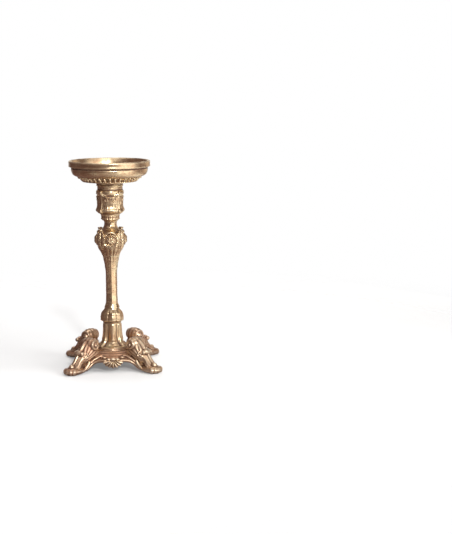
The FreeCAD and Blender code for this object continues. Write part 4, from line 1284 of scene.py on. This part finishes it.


# Stage, in metres: pale floor, a dark sheet and a dark card seen only in the metal's reflections, lamps,
# white backdrop and the camera

FLOOR_RADIUS = 1.6
FLOOR_SIDES = 64
FLOOR_LIFT = (0.19, 0.19, 0.19, 1)  # keeps the floor near white
# Floor colours are painted shade: darker to the right and behind, where the lamps light the floor most
FLOOR_LEFT = (0.745, 0.765, 0.76, 1)
FLOOR_RIGHT = (0.615, 0.63, 0.625, 1)
FLOOR_BEHIND = (0.662, 0.68, 0.676, 1)
NO_LIFT = (0, 0, 0, 1)
# Dark sheet and card that only the metal mirrors: painted dark reflections
REFLECTED_SHADE_HEIGHT = 0.001
REFLECTED_SHADE_BROWN = (0.16, 0.102, 0.10, 1)
REFLECTED_CARD_BROWN = (0.16, 0.10, 0.10, 1)
ROOM = (0.132, 0.087, 0.089, 1)
WHITE = (1, 1, 1, 1)
WARM = (1.0, 0.86, 0.70)


def mirrored_share(tree, rays):
    """One for rays that the metal mirrors or that pass through glass, nought for the others."""
    return figure(tree, "MAXIMUM", rays["Is Glossy Ray"], rays["Is Transmission Ray"])


def matt_finish(name, roughness):
    """New material without any gloss."""
    finish, tree, shader = new_finish(name)
    shader.inputs["Roughness"].default_value = roughness
    shader.inputs["Specular IOR Level"].default_value = 0.0
    return finish, tree, shader


def split_up(tree, place):
    """The X, Y and Z of a place or a direction."""
    node = tree.nodes.new("ShaderNodeSeparateXYZ")
    tree.links.new(place, node.inputs[0])
    return node.outputs


def stage_sheet(name, corners, finish):
    """One flat sheet of the stage."""
    mesh = bpy.data.meshes.new(name)
    mesh.from_pydata(corners, [], [list(range(len(corners)))])
    mesh.materials.append(finish)
    made = bpy.data.objects.new(name, mesh)
    bpy.context.collection.objects.link(made)
    return made


def disc(height):
    """Corners of a round sheet over the whole floor."""
    turns = [k * TURN / FLOOR_SIDES for k in range(FLOOR_SIDES)]
    return [(FLOOR_RADIUS * math.cos(turn), FLOOR_RADIUS * math.sin(turn), height) for turn in turns]


def only_mirrored(made):
    """Takes a sheet out of all but the metal's reflections."""
    made.visible_camera = False
    made.visible_diffuse = False
    made.visible_shadow = False


def floor():
    """Pale floor that keeps the shadow and fades into the white backdrop; its colour is painted darker to the
    right and behind, against the lamps' stronger light there.
    """
    finish, tree, shader = matt_finish("pale_floor", 0.9)
    place = place_on(tree)
    parts = split_up(tree, place)
    # Painted shade: the floor's colour darkens to the right and behind, against the stronger lamp light there
    near = blended(tree, stretch(tree, parts["X"], -0.15, 0.20), FLOOR_LEFT, FLOOR_RIGHT)
    pale = blended(tree, stretch(tree, parts["Y"], 0.02, -0.08), FLOOR_BEHIND, near)
    tree.links.new(pale, shader.inputs["Base Color"])
    rays = tree.nodes.new("ShaderNodeLightPath").outputs
    lifted = figure(tree, "MAXIMUM", rays["Is Camera Ray"], mirrored_share(tree, rays))
    tree.links.new(blended(tree, lifted, NO_LIFT, FLOOR_LIFT), shader.inputs["Emission Color"])
    shader.inputs["Emission Strength"].default_value = 1.0
    length = tree.nodes.new("ShaderNodeVectorMath")
    length.operation = "LENGTH"
    tree.links.new(place, length.inputs[0])
    start, end = 0.20 * FLOOR_RADIUS, 0.62 * FLOOR_RADIUS
    tree.links.new(stretch(tree, length.outputs["Value"], start, end, 1.0, 0.0), shader.inputs["Alpha"])
    stage_sheet("pale_floor", disc(0.0), finish)


def reflected_shade_sheet():
    """Painted dark reflection: a sheet just over the floor that only the metal mirrors; it thins out at the
    right and far to the front.
    """
    finish, tree, shader = matt_finish("reflected_shade_sheet", 0.9)
    shader.inputs["Base Color"].default_value = REFLECTED_SHADE_BROWN
    parts = split_up(tree, place_on(tree))
    far_front = figure(tree, "MULTIPLY", stretch(tree, parts["Y"], -0.20, -0.45), 0.60)
    bare = figure(tree, "MAXIMUM", stretch(tree, parts["X"], -0.06, 0.36), far_front)
    tree.links.new(figure(tree, "SUBTRACT", 1.0, bare), shader.inputs["Alpha"])
    only_mirrored(stage_sheet("reflected_shade_sheet", disc(REFLECTED_SHADE_HEIGHT), finish))


def aimed(thing, place, target):
    """Puts a lamp or a card at a place and turns its face to a target."""
    thing.location = place
    thing.rotation_mode = "QUATERNION"
    thing.rotation_quaternion = (Vector(target) - Vector(place)).to_track_quat("-Z", "Y")


def lamp(name, place, target, size, watts, colour=(1, 1, 1), mirrored=True):
    """Soft lamp out of the camera's sight; one that isn't mirrored only shapes the light and the shadows."""
    data = bpy.data.lights.new(name, "AREA")
    data.shape = "RECTANGLE"
    data.size, data.size_y = size
    data.energy = watts
    data.color = colour
    made = bpy.data.objects.new(name, data)
    made.visible_camera = False
    made.visible_glossy = mirrored
    bpy.context.collection.objects.link(made)
    aimed(made, place, target)


def reflected_shade_card(name, place, target, size):
    """Painted dark reflection: a dark brown sheet beside the stand that only the metal mirrors."""
    finish, _, shader = matt_finish("card_reflected_shade", 1.0)
    shader.inputs["Base Color"].default_value = REFLECTED_CARD_BROWN
    x, y = size[0] / 2, size[1] / 2
    card = stage_sheet(name, [(-x, -y, 0), (x, -y, 0), (x, y, 0), (-x, y, 0)], finish)
    aimed(card, place, target)
    only_mirrored(card)


def white_backdrop():
    """White behind the stand, for the camera and for metal that mirrors it, in a dim warm room."""
    world = bpy.data.worlds.new("studio")
    bpy.context.scene.world = world
    world.use_nodes = True
    tree = world.node_tree
    rays = tree.nodes.new("ShaderNodeLightPath").outputs
    way = split_up(tree, tree.nodes.new("ShaderNodeTexCoord").outputs["Generated"])
    behind = stretch(tree, way["Y"], 0.88, 0.96)
    mirrored = figure(tree, "MULTIPLY", behind, mirrored_share(tree, rays))
    shown = figure(tree, "MAXIMUM", rays["Is Camera Ray"], mirrored)
    tree.links.new(blended(tree, shown, ROOM, WHITE), tree.nodes["Background"].inputs["Color"])


CAMERA_PLACE = (0.0, -1.897, 0.463)
CAMERA_DROP = 9.18  # degrees that it looks down
CAMERA_ROLL = 0.17  # degrees
CAMERA_LENS_PIXELS = 1203.0
AXIS_COLUMN = 109.2  # column of the picture in which the stand's axis lies


def camera():
    data = bpy.data.cameras.new("camera")
    data.sensor_width = 36.0
    data.lens = CAMERA_LENS_PIXELS * data.sensor_width / PHOTO_HEIGHT
    made = bpy.data.objects.new("camera", data)
    bpy.context.collection.objects.link(made)
    pan = math.atan((PHOTO_WIDTH / 2 - AXIS_COLUMN) / CAMERA_LENS_PIXELS)
    made.rotation_euler = (math.radians(90 - CAMERA_DROP), math.radians(CAMERA_ROLL), -pan)
    made.location = CAMERA_PLACE
    bpy.context.scene.camera = made


dress()
floor()
reflected_shade_sheet()
white_backdrop()
lamp("key", place=(0.44, -0.36, 0.34), target=(0, 0, 0.30), size=(0.50, 0.68), watts=1.65)
lamp("front", place=(0.48, -2.25, 1.20), target=(0, 0, 0.15), size=(0.17, 0.17), watts=36)
lamp("top", place=(0.1, 0.3, 2.2), target=(0, 0, 0), size=(1.6, 1.6), watts=16)
lamp("upper_left", place=(-0.55, -0.75, 1.15), target=(0, 0, 0.08), size=(0.7, 0.5), watts=1.8)
lamp("right_low", place=(0.80, -0.55, 0.50), target=(0, 0, 0.05), size=(0.4, 0.4), watts=5.0, mirrored=False)
lamp("back_low", place=(-0.10, 0.95, 0.62), target=(0, 0, 0), size=(1.2, 0.6), watts=7.0, mirrored=False)
lamp("right_edge", place=(0.60, 0.55, 0.30), target=(0, 0, 0.17), size=(0.4, 0.6), watts=0.5, colour=WARM)
reflected_shade_card("left_card", place=(-0.75, -0.35, 0.45), target=(0, 0, 0.2), size=(0.9, 1.1))
camera()
bpy.context.scene.view_settings.view_transform = "Standard"
